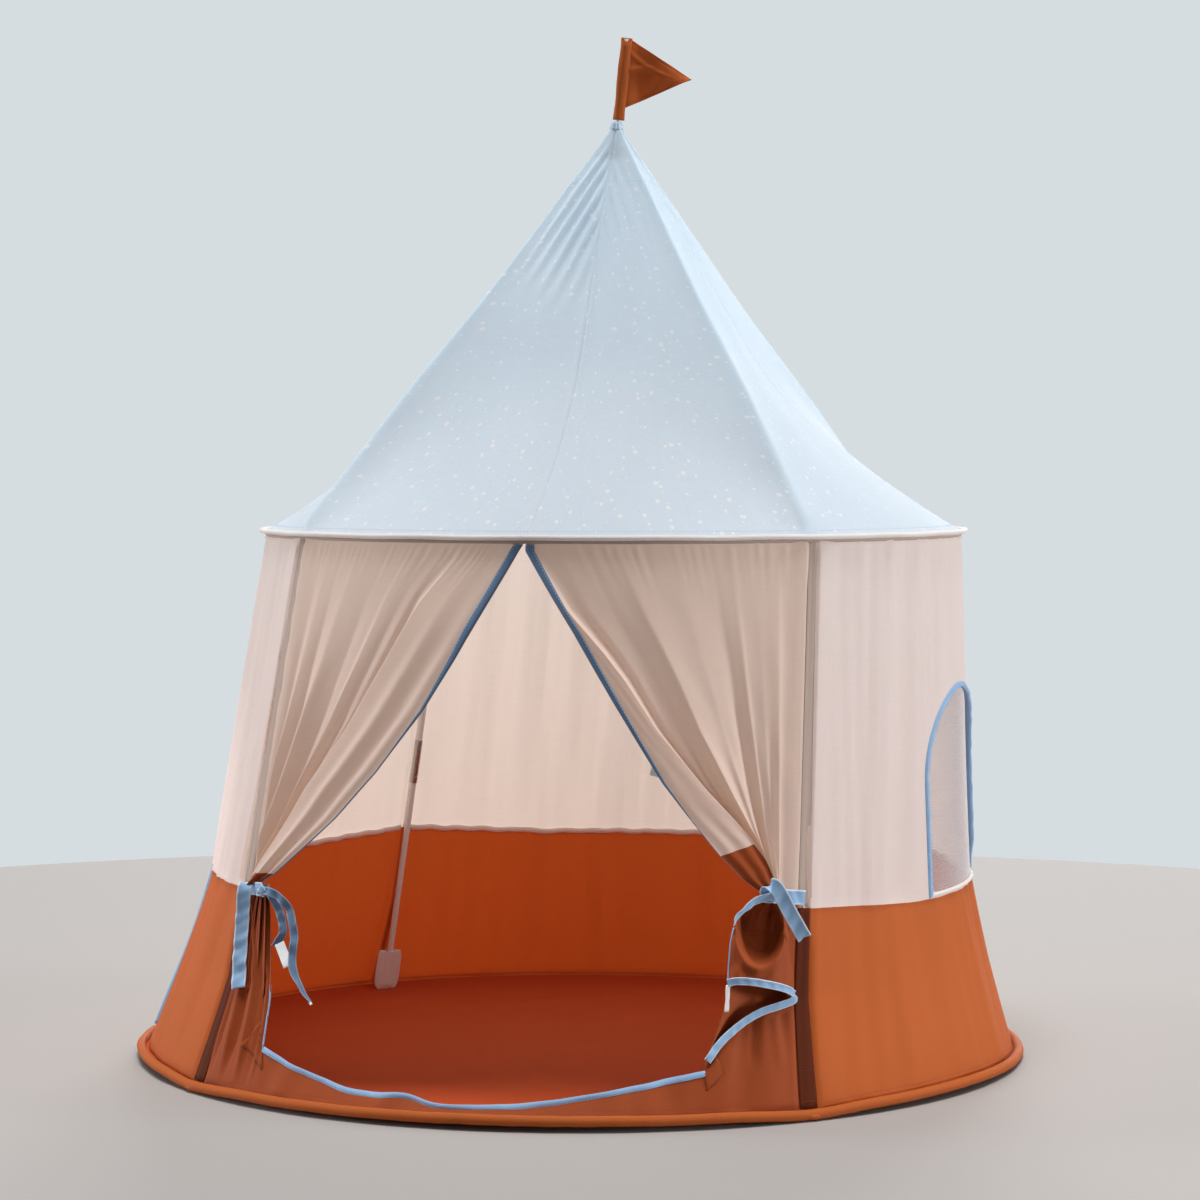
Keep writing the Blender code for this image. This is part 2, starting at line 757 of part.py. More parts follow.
def curtain_place(side, edge_shares, foot_share, crest_share, across, down):
    """The (angle, height, fold) of a curtain's point; across runs from the pole to the free edge."""
    edge_angle_share, edge_height_share = along(edge_shares, down)
    edge_height = min(edge_height_share * EAVES_HEIGHT, EAVES_HEIGHT - GAP)
    pole_height = lerp(EAVES_HEIGHT - GAP, foot_share * EAVES_HEIGHT, down)
    height = lerp(pole_height, edge_height, across)
    crest = max(0.0, 1 - abs(across - CREST_AT_SHARE) / (1 - CREST_AT_SHARE))
    height += crest_share * EAVES_HEIGHT * crest * down**4
    margin = GAP / EAVES_SEAM_RADIUS
    pole_angle = door_corner(side, height) - margin
    edge_angle = edge_angle_share * EAVES_AZIMUTHS[0] + (TAPE_WIDTH + EDGE_GAP) / EAVES_SEAM_RADIUS
    angle = lerp(pole_angle, min(edge_angle, pole_angle), across)
    envelope = math.sin(math.pi * across)
    fold = FOLD_DEPTH * smooth(down * 2) * envelope * math.sin(TURN * FOLDS * across)
    return angle, height, fold


def make_curtain(label, side, edge_shares, foot_share, crest_share):
    rows = []
    for step in range(CURTAIN_ROWS + 1):
        down = (step / CURTAIN_ROWS) ** (3 / 2)
        row = []
        for column in range(CURTAIN_COLUMNS + 1):
            across = column / CURTAIN_COLUMNS
            angle, height, fold = curtain_place(
                side, edge_shares, foot_share, crest_share, across, down
            )
            tuck = tucked(side * angle, height, EAVES_FACET_DEPTH)
            row.append(wall_point(side * angle, height, fold + tuck))
        rows.append(row)
    cloth("curtain_" + label, rows, "pale_cloth")
    edge = []
    for step in range(CURTAIN_ROWS + 1):
        down = (step / CURTAIN_ROWS) ** (3 / 2)
        angle, height, _fold = curtain_place(side, edge_shares, foot_share, crest_share, 1.0, down)
        proud = (TAPE - CLOTH) / 2 - EAVES_FACET_DEPTH - GAP
        narrow = TAPE_WIDTH / EAVES_SEAM_RADIUS
        outer = angle - EDGE_GAP / EAVES_SEAM_RADIUS
        inner = max(outer - narrow, GAP / EAVES_SEAM_RADIUS)
        edge.append(
            [wall_point(side * outer, height, proud), wall_point(side * inner, height, proud)]
        )
    cloth("curtain_%s_binding" % label, edge, "blue_tape", thickness=TAPE)


def tail_point(side, shares, across, down, proud=0.0):
    """A point of a gathered tail; across runs from its inner edge to the pole side."""
    height_share, inner_share, outer_share, off_share = along(shares, down)
    height = height_share * EAVES_HEIGHT
    angle = lerp(inner_share, outer_share, across) * EAVES_AZIMUTHS[0]
    middle = (inner_share + outer_share) / 2 * EAVES_AZIMUTHS[0]
    fold = TAIL_DEPTH * math.sin(TURN * TAIL_FOLDS * across)
    radius = wall_radius(side * middle, height) + off_share * TAIL_STAND_OFF
    return place(radius + fold + proud, side * angle, height)


def make_tail(label, side, shares, parent):
    rows = [
        [tail_point(side, shares, c / TAIL_COLUMNS, r / TAIL_ROWS) for c in range(TAIL_COLUMNS + 1)]
        for r in range(TAIL_ROWS + 1)
    ]
    cloth("tail_" + label, rows, "rust_cloth", parent=parent)


def make_hem(label, side, shares, parent):
    """Tape along the bottom edge of a tail."""
    upper = [tail_point(side, shares, c / TAIL_COLUMNS, 1.0, CLOTH / 2) for c in range(TAIL_COLUMNS + 1)]
    drop = Vector((0, 0, GAP))
    depth = Vector((0, 0, TAPE_WIDTH))
    rows = [[p - drop for p in upper], [p - drop - depth for p in upper]]
    cloth("tail_%s_hem" % label, rows, "blue_tape", thickness=TAPE, parent=parent)


def make_tie(label, side, shares, tie_share, ribbon_shares, parent):
    """A ribbon ring round the gathered cloth, knotted, with a band to the pole seam and an end."""
    height = tie_share * EAVES_HEIGHT
    tie_rows = sorted(shares, key=lambda row: abs(row[0] - tie_share))[:2]
    inner_share = min(row[1] for row in tie_rows)
    outer_share = max(row[2] for row in tie_rows)
    angle = side * (inner_share + outer_share) / 2 * EAVES_AZIMUTHS[0]
    radius = wall_radius(angle, height)
    margin = RING_MARGINS[label]
    half_width = (outer_share - inner_share) / 2 * EAVES_AZIMUTHS[0] * radius + margin
    half_depth = TAIL_DEPTH + CLOTH + margin
    out = radial(angle)
    up = Vector((0, 0, 1))
    matrix = frame(wall_point(angle, height, TAIL_STAND_OFF - CLOTH / 2), up, out)
    sections = []
    for step in range(RING_SIDES):
        turn = TURN * (step + 1 / 2) / RING_SIDES
        c, n = math.cos(turn), math.sin(turn)
        square = (c**4 + n**4) ** (-1 / 4)
        sections.append(
            [
                matrix
                @ Vector(
                    (
                        (half_depth + grow) * c * square,
                        (half_width + grow) * n * square,
                        level * RING_HEIGHT / 2,
                    )
                )
                for grow, level in ((0, -1), (RIBBON, -1), (RIBBON, 1), (0, 1))
            ]
        )
    ring = loop_mesh("tie_" + label, sections, True)
    tie = add("tie_" + label, ring, "blue_tape", parent=parent)
    # The knot sits on the ring's outer face, on the side of the pole.
    knot_at = matrix @ Vector((half_depth + GAP + KNOT_DEPTH / 2, side * half_width * KNOT_SIDE_SHARE, 0))
    knot = bmesh.new()
    bmesh.ops.create_icosphere(knot, subdivisions=1, radius=1.0)
    stretch = Matrix.Diagonal((KNOT_DEPTH / 2, KNOT_WIDTH / 2, KNOT_WIDTH / 2, 1))
    knot_matrix = Matrix.Translation(knot_at) @ matrix.to_3x3().to_4x4() @ stretch
    bmesh.ops.transform(knot, matrix=knot_matrix, verts=knot.verts)
    boolean(tie, add("tie_%s_knot" % label, finish_mesh("knot", knot), "blue_tape"), "UNION")
    # The band runs back from the ring to the pole seam.
    ring_side = matrix @ Vector((0, side * (half_width + RIBBON / 2), 0))
    seam_angle = door_corner(side, height) - GAP / radius
    near_angle = min(seam_angle, outer_share * EAVES_AZIMUTHS[0] + 2 * margin / radius)
    near_angle = max(near_angle, seam_angle - BAND_FOOT / radius)
    near = wall_point(side * near_angle, height, BAND_FOOT / 2)
    seam_at = wall_point(side * seam_angle, height, EDGE_GAP + RIBBON / 2)
    band = ribbon_mesh([ring_side, near, seam_at], RING_HEIGHT * 4 / 5, up)
    boolean(tie, add("tie_%s_band" % label, band, "blue_tape"), "UNION")
    # The loose end hangs from the knot, over the flare of the skirt.
    points = [knot_at]
    for height_share, angle_share, off_share in ribbon_shares:
        points.append(
            wall_point(
                side * angle_share * EAVES_AZIMUTHS[0],
                height_share * EAVES_HEIGHT,
                off_share * TAIL_STAND_OFF,
            )
        )
    across = matrix.to_3x3() @ Vector((0, 1, 0))
    end_mesh = ribbon_mesh(points, RIBBON_WIDTH, across)
    boolean(tie, add("tie_%s_end" % label, end_mesh, "blue_tape"), "UNION")


def ribbon_mesh(points, width, across):
    """A flat strip through points, its width along this direction."""
    sections = []
    for i, point in enumerate(points):
        before = points[max(i - 1, 0)]
        after = points[min(i + 1, len(points) - 1)]
        tangent = (after - before).normalized()
        side = (across - tangent * across.dot(tangent)).normalized()
        out = side.cross(tangent).normalized()
        sections.append(
            [
                point + side * (width / 2) + out * (RIBBON / 2),
                point - side * (width / 2) + out * (RIBBON / 2),
                point - side * (width / 2) - out * (RIBBON / 2),
                point + side * (width / 2) - out * (RIBBON / 2),
            ]
        )
    return loop_mesh("ribbon", sections, False)


def slit_at(azimuth):
    """The height of the sill's top edge, which sags between the ends of the slit."""
    end = RIGHT_SLIT_END if azimuth > 0 else LEFT_SLIT_END
    share = min(1.0, abs(azimuth) / end)
    return lerp(SILL_HEIGHT, SLIT_HEIGHT, share**2)


def jamb_grid(side, shares):
    """Cloth from the pole line to the opening, up to the tie."""
    slit_end = RIGHT_SLIT_END if side > 0 else LEFT_SLIT_END
    table = [(SLIT_HEIGHT / EAVES_HEIGHT, slit_end / EAVES_AZIMUTHS[0])] + list(shares)
    rows = []
    for height_share, angle_share in table:
        height = height_share * EAVES_HEIGHT
        pole = door_corner(side, height) - 2 * GAP / FLOOR_SEAM_RADIUS
        edge = angle_share * EAVES_AZIMUTHS[0]
        row = []
        for column in range(JAMB_COLUMNS + 1):
            across = column / JAMB_COLUMNS
            up = (height_share - table[0][0]) / (table[-1][0] - table[0][0])
            fold = JAMB_FOLD * up * math.sin(math.pi * across) * math.cos(math.pi * column)
            angle = side * lerp(pole, edge, across)
            tuck = tucked(angle, height, FLOOR_FACET_DEPTH)
            row.append(wall_point(angle, height, fold + tuck))
        rows.append(row)
    return rows[::-1]


def make_front_skirt():
    """The sill and both jambs, one piece of cloth."""
    right = jamb_grid(1, RIGHT_JAMB_SHARES)
    left = jamb_grid(-1, LEFT_JAMB_SHARES)
    margin = 2 * GAP / FLOOR_SEAM_RADIUS
    right_pole = door_corner(1, SLIT_HEIGHT) - margin
    left_pole = door_corner(-1, SLIT_HEIGHT) - margin
    angles = [lerp(-left_pole, -LEFT_SLIT_END, i / JAMB_COLUMNS) for i in range(JAMB_COLUMNS)]
    angles += [lerp(-LEFT_SLIT_END, RIGHT_SLIT_END, i / DIVISIONS) for i in range(DIVISIONS)]
    angles += [lerp(RIGHT_SLIT_END, right_pole, i / JAMB_COLUMNS) for i in range(JAMB_COLUMNS + 1)]
    rows = []
    for share in (0, 1 / 3, 2 / 3, 1):
        row = []
        for angle in angles:
            height = lerp(slit_at(angle), FLOOR_SEAM_HEIGHT, share)
            side = 1 if angle > 0 else -1
            pole = door_corner(side, SLIT_HEIGHT) - margin
            low_pole = door_corner(side, height) - margin
            tuck = tucked(angle * low_pole / pole, height, FLOOR_FACET_DEPTH)
            row.append(wall_point(angle * low_pole / pole, height, tuck))
        rows.append(row)
    cloth("skirt_front", [rows, right, left], "rust_cloth")
    tape = []
    trim = TAPE / FLOOR_SEAM_RADIUS
    slit = [min(max(a, trim - LEFT_SLIT_END), RIGHT_SLIT_END - trim) for a in angles]
    slit = sorted(set(slit))
    for level in (1, 0):
        row = []
        for angle in slit:
            height = slit_at(angle) + EDGE_GAP + level * TAPE_WIDTH
            row.append(wall_point(angle, height, (TAPE - CLOTH) / 2 - FLOOR_FACET_DEPTH))
        tape.append(row)
    cloth("sill_binding", tape, "blue_tape", thickness=TAPE)


def make_door():
    make_curtain("right", 1, RIGHT_EDGE_SHARES, RIGHT_FOOT_SHARE, RIGHT_CREST_SHARE)
    make_curtain("left", -1, LEFT_EDGE_SHARES, LEFT_FOOT_SHARE, LEFT_CREST_SHARE)
    make_front_skirt()
    for label, side, shares, tie_share, ribbon_shares in (
        ("right", 1, RIGHT_TAIL_SHARES, RIGHT_TIE_SHARE, RIGHT_RIBBON_SHARES),
        ("left", -1, LEFT_TAIL_SHARES, LEFT_TIE_SHARE, LEFT_RIBBON_SHARES),
    ):
        height = tie_share * EAVES_HEIGHT
        pivot = bpy.data.objects.new("tail_%s_pivot" % label, None)
        bpy.context.scene.collection.objects.link(pivot)
        pivot.location = wall_point(side * door_corner(side, height), height, GAP + RIBBON / 2)
        bpy.context.view_layer.update()
        make_tail(label, side, shares, pivot)
        make_tie(label, side, shares, tie_share, ribbon_shares, pivot)
        if side > 0:
            make_hem(label, side, shares, pivot)


# Poles


def tube_sections(points, radius, normal, sides=ROD_SIDES):
    """Rings round a route that lies in the plane square to normal."""
    sections = []
    for i, point in enumerate(points):
        before = points[max(i - 1, 0)]
        after = points[min(i + 1, len(points) - 1)]
        tangent = (after - before).normalized()
        across = normal.cross(tangent).normalized()
        sections.append(
            [
                point + (normal * math.cos(a) + across * math.sin(a)) * radius
                for a in (TURN * k / sides for k in range(sides))
            ]
        )
    return sections


def pipe_mesh(name, points, outer, inner, normal):
    """A pipe open at both ends."""
    bm = bmesh.new()
    shells = []
    for radius in (outer, inner):
        sections = tube_sections(points, radius, normal)
        rings = [[bm.verts.new(p) for p in section] for section in sections]
        for ring, after in zip(rings, rings[1:]):
            for i in range(len(ring)):
                j = (i + 1) % len(ring)
                bm.faces.new((ring[i], ring[j], after[j], after[i]))
        shells.append(rings)
    for end in (0, -1):
        wide, narrow = shells[0][end], shells[1][end]
        for i in range(len(wide)):
            j = (i + 1) % len(wide)
            bm.faces.new((wide[i], wide[j], narrow[j], narrow[i]))
    bmesh.ops.recalc_face_normals(bm, faces=bm.faces)
    return finish_mesh(name, bm)


def make_rod(name, start, end, normal, ferrule=False):
    """A rod from start to end; with a ferrule glued over its far end if it has one."""
    length = (end - start).length
    if ferrule:
        grip = FERRULE_LENGTH / 2
        profile = [
            (0, 0),
            (ROD_RADIUS, 0),
            (ROD_RADIUS, length - grip),
            (FERRULE_RADIUS, length - grip),
            (FERRULE_RADIUS, length + grip),
            (FERRULE_BORE, length + grip),
            (FERRULE_BORE, length),
            (0, length),
        ]
    else:
        profile = [(0, 0), (ROD_RADIUS, 0), (ROD_RADIUS, length), (0, length)]
    mesh = turned_mesh(name, profile, ROD_SIDES)
    add(name, mesh, "fibreglass", frame(start, end - start, normal))


def make_pole(corner, label):
    def on_wall(height):
        return place(wall_pole_radius(height), corner_azimuth(corner, height), height)

    foot = on_wall(CLOTH + FOOT_LIFT + POCKET_BASE)
    knee = place(
        wall_pole_radius(ELBOW_HEIGHT), corner_azimuth(corner, ELBOW_HEIGHT), ELBOW_HEIGHT
    )
    point = place(0, EAVES_AZIMUTHS[corner], POLE_POINT_HEIGHT)
    up = (knee - foot).normalized()
    over = (point - knee).normalized()
    normal = up.cross(over).normalized()
    # The elbow: a straight leg, a bend and a straight leg.
    bend = up.angle(over)
    tangent = ELBOW_BEND * math.tan(bend / 2)
    centre = knee - up * tangent + normal.cross(up) * ELBOW_BEND
    route = [knee - up * ELBOW_LEG]
    for step in range(ELBOW_STEPS + 1):
        turn = Matrix.Rotation(bend * step / ELBOW_STEPS, 3, normal)
        route.append(centre + turn @ (knee - up * tangent - centre))
    route.append(knee + over * ELBOW_LEG)
    mesh = pipe_mesh("elbow_" + label, route, FERRULE_RADIUS, FERRULE_BORE, normal)
    add("elbow_" + label, mesh, "steel")
    grip = ELBOW_LEG - ELBOW_GRIP
    # The wall's two rods and the ferrule that joins them.
    joint = foot + up * FERRULE_HEIGHT
    make_rod("wall_rod_low_" + label, foot, joint - up * STOP, normal)
    make_rod("wall_rod_high_" + label, joint + up * STOP, knee - up * grip, normal)
    half = FERRULE_LENGTH / 2
    profile = [(FERRULE_RADIUS, -half), (FERRULE_RADIUS, half), (FERRULE_BORE, half), (FERRULE_BORE, -half)]
    mesh = turned_mesh("ferrule_" + label, profile, ROD_SIDES)
    add("ferrule_" + label, mesh, "steel", frame(joint, up, normal))
    # The roof's two rods; the lower one carries its ferrule.
    start = knee + over * grip
    end = point - over * (HUB_RADIUS / math.sin(math.atan(SLOPE)) + STOP)
    middle = start.lerp(end, 1 / 2)
    make_rod("roof_rod_low_" + label, start, middle, normal, ferrule=True)
    make_rod("roof_rod_high_" + label, middle + over * STOP, end, normal)
    make_pocket(label, foot, up, corner, normal)
    return point, over, normal


def pocket_outline():
    """The pocket's front as (x, y), with rounded lower and upper corners."""
    half = POCKET_WIDTH / 2
    points = []
    for x_sign, y_at, start in ((1, 0, -90), (1, 1, 0), (-1, 1, 90), (-1, 0, 180)):
        cx = x_sign * (half - POCKET_CORNER)
        cy = POCKET_CORNER if y_at == 0 else POCKET_HEIGHT - POCKET_CORNER
        for step in range(4):
            angle = math.radians(start) + math.pi / 2 * step / 3
            points.append((cx + POCKET_CORNER * math.cos(angle), cy + POCKET_CORNER * math.sin(angle)))
    return points


def make_pocket(label, foot, up, corner, normal):
    """A flat pouch that bulges over the foot of the pole and is open at its top."""
    out = radial(corner_azimuth(corner, 0))
    side = Vector((0, 0, 1)).cross(out)
    thick = ROD_RADIUS + GAP + POCKET_WALL
    base = foot - up * (GAP + POCKET_BASE)
    matrix = frame(base, up, side)
    half = POCKET_WIDTH / 2
    across = [
        (-half, POCKET_EDGE / 2),
        (-thick * 5 / 4, POCKET_EDGE / 2 + POCKET_WALL),
        (-thick / 2, thick),
        (thick / 2, thick),
        (thick * 5 / 4, POCKET_EDGE / 2 + POCKET_WALL),
        (half, POCKET_EDGE / 2),
    ]
    outline = across + [(x, -y) for x, y in across[::-1]]
    sections = [
        [Vector((x, y, z)) for x, y in outline] for z in (0, POCKET_HEIGHT)
    ]
    name = "pocket_" + label
    pocket = add(name, loop_mesh(name, sections, False), "pocket_cloth", matrix)
    corners = prism_mesh(
        "pocket_outline", pocket_outline(), POCKET_WIDTH, Matrix.Rotation(math.pi / 2, 4, "X")
    )
    boolean(pocket, add("pocket_outline_" + label, corners, "pocket_cloth", matrix), "INTERSECT")
    mouth = POCKET_HEIGHT + OVERRUN
    wide = ROD_RADIUS + GAP
    bore = [(0, POCKET_BASE), (wide, POCKET_BASE), (wide, mouth), (0, mouth)]
    along_rod = frame(base, up, normal)
    cutter = add("pocket_bore_" + label, turned_mesh("bore", bore, ROD_SIDES), "steel", along_rod)
    boolean(pocket, cutter, "DIFFERENCE")


def make_hub(poles):
    """A plug under the roof's point, with the poles and the flag's stick in its bores."""
    top = APEX_HEIGHT - HUB_BELOW_POINT
    core_at = Vector((lean_at(top), 0, top))
    profile = [(0, -HUB_HEIGHT), (HUB_FOOT_RADIUS, -HUB_HEIGHT), (HUB_RADIUS, 0), (0, 0)]
    mesh = turned_mesh("hub", profile, HUB_SIDES)
    hub = add("hub", mesh, "hub_plastic", Matrix.Translation(core_at))
    start = HUB_RADIUS / math.sin(math.atan(SLOPE))
    far = start + HUB_HEIGHT + OVERRUN
    for (point, over, normal), label in zip(poles, CORNERS):
        bore = [(0, start), (FERRULE_BORE, start), (FERRULE_BORE, far), (0, far)]
        mesh = turned_mesh("bore", bore, ROD_SIDES)
        cutter = add("hub_bore_" + label, mesh, "steel", frame(point, -over, normal))
        boolean(hub, cutter, "DIFFERENCE")
    tilt = Matrix.Rotation(STICK_TILT, 4, "Y")
    axis = Matrix.Translation(core_at) @ tilt
    bore_radius = STICK_RADIUS + GAP
    bore = [(0, -STICK_GRIP), (bore_radius, -STICK_GRIP), (bore_radius, OVERRUN), (0, OVERRUN)]
    boolean(hub, add("hub_stick_bore", turned_mesh("bore", bore, SLEEVE_SIDES), "steel", axis), "DIFFERENCE")
    return axis


def make_flag(axis):
    """The stick in the hub, and the pennant whose sleeve is shut at the top."""
    turn = axis @ Matrix.Rotation(FLAG_HEADING, 4, "Z")
    stick_top = FLAG_LIFT + SLEEVE_LENGTH - CLOTH - GAP
    stick_foot = GAP - STICK_GRIP
    profile = [(0, stick_foot), (STICK_RADIUS, stick_foot), (STICK_RADIUS, stick_top), (0, stick_top)]
    stick = add("flag_stick", turned_mesh("flag_stick", profile, SLEEVE_SIDES), "stick_plastic", turn)
    sleeve_matrix = turn @ Matrix.Translation((0, 0, FLAG_LIFT))
    bore = STICK_RADIUS + GAP
    shut = SLEEVE_LENGTH - CLOTH
    profile = [(bore, 0), (SLEEVE_RADIUS, 0), (SLEEVE_RADIUS, SLEEVE_LENGTH)]
    profile += [(0, SLEEVE_LENGTH), (0, shut), (bore, shut)]
    bpy.context.view_layer.update()
    mesh = turned_mesh("flag", profile, SLEEVE_SIDES)
    flag = add("flag", mesh, "rust_cloth", sleeve_matrix, parent=stick)
    inner = (bore + SLEEVE_RADIUS) / 2
    outline = [
        (inner, PENNANT_FOOT_SHARE * SLEEVE_LENGTH),
        (inner + PENNANT_REACH, PENNANT_TIP_SHARE * SLEEVE_LENGTH),
        (inner, PENNANT_TOP_SHARE * SLEEVE_LENGTH),
    ]
    mesh = prism_mesh("pennant", outline, CLOTH, Matrix.Rotation(math.pi / 2, 4, "X"))
    boolean(flag, add("flag_pennant", mesh, "rust_cloth", sleeve_matrix), "UNION")


def main():
    clear_scene()
    make_groundsheet()
    make_hoop("floor", FLOOR_RADIUS, FLOOR_CHANNEL_RADIUS, FLOOR_CHANNEL_RADIUS, "rust_cloth")
    make_hoop("eaves", EAVES_RADIUS, EAVES_CHANNEL_RADIUS, EAVES_HEIGHT, "pale_cloth")
    make_roof()
    walls = make_walls()
    make_window(walls["right"])
    make_side_strip()
    make_door()
    poles = [make_pole(corner, label) for corner, label in enumerate(CORNERS)]
    make_flag(make_hub(poles))


main()
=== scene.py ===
"""The looks of a child's round play tent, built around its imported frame: metres, +Z up, door facing -Y."""

import math

import bmesh
import bpy
import numpy as np
from mathutils import Matrix, Vector


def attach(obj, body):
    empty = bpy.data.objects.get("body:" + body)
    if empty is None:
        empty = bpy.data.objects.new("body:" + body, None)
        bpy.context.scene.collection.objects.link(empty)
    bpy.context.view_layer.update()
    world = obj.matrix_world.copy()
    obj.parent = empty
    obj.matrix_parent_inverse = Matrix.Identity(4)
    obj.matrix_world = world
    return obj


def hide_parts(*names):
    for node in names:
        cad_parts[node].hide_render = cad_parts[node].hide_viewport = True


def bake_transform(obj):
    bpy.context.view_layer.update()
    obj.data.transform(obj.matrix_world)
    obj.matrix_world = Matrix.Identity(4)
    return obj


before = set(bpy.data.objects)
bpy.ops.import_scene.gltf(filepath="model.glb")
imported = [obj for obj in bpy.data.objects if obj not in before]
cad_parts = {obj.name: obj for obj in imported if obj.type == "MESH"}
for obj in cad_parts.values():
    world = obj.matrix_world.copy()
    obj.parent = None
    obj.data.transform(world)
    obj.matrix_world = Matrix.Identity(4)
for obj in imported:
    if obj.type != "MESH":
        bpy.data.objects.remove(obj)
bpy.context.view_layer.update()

# The sizes of the frame's source, repeated.
FLOOR_RADIUS, EAVES_RADIUS = 0.6, 0.48
FLOOR_TUBE, EAVES_TUBE = 0.0065, 0.005
EAVES_HEIGHT, APEX_HEIGHT = 0.705, 1.26
EAVES_LEAN, APEX_LEAN = 0.0465, 0.0505
SEAM_HEIGHT, SEAM_RISE, SEAM_RADIUS = 0.237, 0.013, 0.515
SEAM_SPREAD, CORNER_SPREAD = math.radians(25), math.radians(20)
FLARE_SAG = 0.013
FLOOR_AZIMUTHS = np.radians([42, 134, 226, 318])
EAVES_AZIMUTHS = np.radians([45, 135, 225, 315])
CORNERS = ("front_right", "back_right", "back_left", "front_left")
EAVES_SEAM, FLOOR_SEAM = 0.4697, 0.5867
POLE_FOOT = 0.552
ROD, FERRULE, FERRULE_HALF, ELBOW = 0.0045, 0.0055, 0.0325, 0.03
# The cloth's thickness in the source and the room between it and the poles; then the cloth here.
THICK, ROOM = 0.0012, 0.0006
CLOTH, THIN = 0.0008, 0.0007
TURN, QUARTER = 2 * math.pi, math.pi / 4
SLOPE = EAVES_SEAM / (APEX_HEIGHT - EAVES_HEIGHT)
TILT = math.atan(SLOPE)
WALL_SLOPE = (EAVES_SEAM - THICK - ROOM - FERRULE - POLE_FOOT) / EAVES_HEIGHT
WALL_TOP = EAVES_HEIGHT - 0.003
JAMB_TOP = 0.262

# The camera stands where the photograph's does. Its frame, focal length and horizon are in pixels.
CAMERA_AZIMUTH = math.radians(13.45)
CAMERA_DISTANCE, CAMERA_HEIGHT, CAMERA_ASIDE = 4.6, 0.8065, 0.0266
FRAME, FOCAL, HORIZON, FILM = 1200, 3368, 145, 36
RIGHTWARD = np.array([math.cos(CAMERA_AZIMUTH), math.sin(CAMERA_AZIMUTH), 0.0])
NEARWARD = np.array([math.sin(CAMERA_AZIMUTH), -math.cos(CAMERA_AZIMUTH), 0.0])
UPWARD = np.array([0.0, 0.0, 1.0])


def link(name, data):
    obj = bpy.data.objects.new(name, data)
    bpy.context.scene.collection.objects.link(obj)
    return obj


def make_camera():
    data = bpy.data.cameras.new("camera")
    data.sensor_width = FILM
    data.lens = FILM * FOCAL / FRAME
    data.shift_y = -HORIZON / FRAME
    camera = link("camera", data)
    camera.location = CAMERA_DISTANCE * NEARWARD + CAMERA_ASIDE * RIGHTWARD + CAMERA_HEIGHT * UPWARD
    camera.rotation_euler = (math.pi / 2, 0, CAMERA_AZIMUTH)
    bpy.context.scene.camera = camera


# Shape of the tent


def lerp(a, b, t):
    return a + (b - a) * t


def smooth(t):
    t = np.clip(t, 0, 1)
    return t * t * (3 - 2 * t)


def bump(x):
    return np.exp(-np.square(x))


def unit(vectors):
    """The same directions, each of length one."""
    return vectors / np.maximum(np.linalg.norm(vectors, axis=-1, keepdims=True), 1e-9)


def run_length(route):
    return np.concatenate([[0], np.cumsum(np.linalg.norm(np.diff(route, axis=0), axis=1))])


def circle(steps):
    return np.linspace(0, TURN, steps + 1)[:-1]


def shares(columns, rows, first=0):
    """How far across and down each point of a grid is."""
    return np.meshgrid(np.linspace(first, 1, columns), np.linspace(first, 1, rows))


def lean_at(z):
    low = EAVES_LEAN * np.clip(z - 2 * FLOOR_TUBE, 0, None) / (EAVES_HEIGHT - 2 * FLOOR_TUBE)
    high = lerp(EAVES_LEAN, APEX_LEAN, (z - EAVES_HEIGHT) / (APEX_HEIGHT - EAVES_HEIGHT))
    return np.where(z < EAVES_HEIGHT, low, high)


def place(radius, azimuth, z):
    radius, azimuth, z = np.broadcast_arrays(*map(np.asarray, (radius, azimuth, z)))
    return np.stack([radius * np.sin(azimuth) + lean_at(z), -radius * np.cos(azimuth), z], -1)


def radial(azimuth):
    return np.stack([np.sin(azimuth), -np.cos(azimuth), 0 * np.asarray(azimuth)], -1)


def corner_azimuth(corner, z):
    turns, corner = divmod(corner, 4)
    share = np.clip(z / EAVES_HEIGHT, 0, 1)
    return lerp(FLOOR_AZIMUTHS[corner], EAVES_AZIMUTHS[corner], share) + turns * TURN


def off_corner(azimuth, z):
    gaps = [np.abs((azimuth - corner_azimuth(c, z) + math.pi) % TURN - math.pi) for c in range(4)]
    return np.min(gaps, axis=0)


def door_pole(side, z):
    """The door's left or right pole, in degrees from the door's middle."""
    return np.degrees(corner_azimuth(0 if side > 0 else -1, z))


def pole_radius(z):
    return POLE_FOOT + WALL_SLOPE * z


def wall_radius(azimuth, z):
    up = lerp(SEAM_RADIUS, EAVES_SEAM, (z - SEAM_HEIGHT) / (EAVES_HEIGHT - SEAM_HEIGHT))
    drop = np.clip((SEAM_HEIGHT - z) / (SEAM_HEIGHT - FLOOR_TUBE), 0, 1.1)
    low = lerp(SEAM_RADIUS, FLOOR_SEAM, drop) - FLARE_SAG * drop * (1 - drop)
    middle = np.where(z >= SEAM_HEIGHT, up, low)
    corner = pole_radius(z) + FERRULE + ROOM + THICK
    near = np.clip(1 - off_corner(azimuth, z) / CORNER_SPREAD, 0, None) ** 2
    return middle + np.clip(corner - middle, 0, None) * near


def seam_height(azimuth):
    near = np.clip(1 - off_corner(azimuth, SEAM_HEIGHT) / SEAM_SPREAD, 0, None)
    left = bump((np.asarray(azimuth) % TURN - math.radians(282)) / math.radians(26))
    return SEAM_HEIGHT + SEAM_RISE * near + 0.015 * left


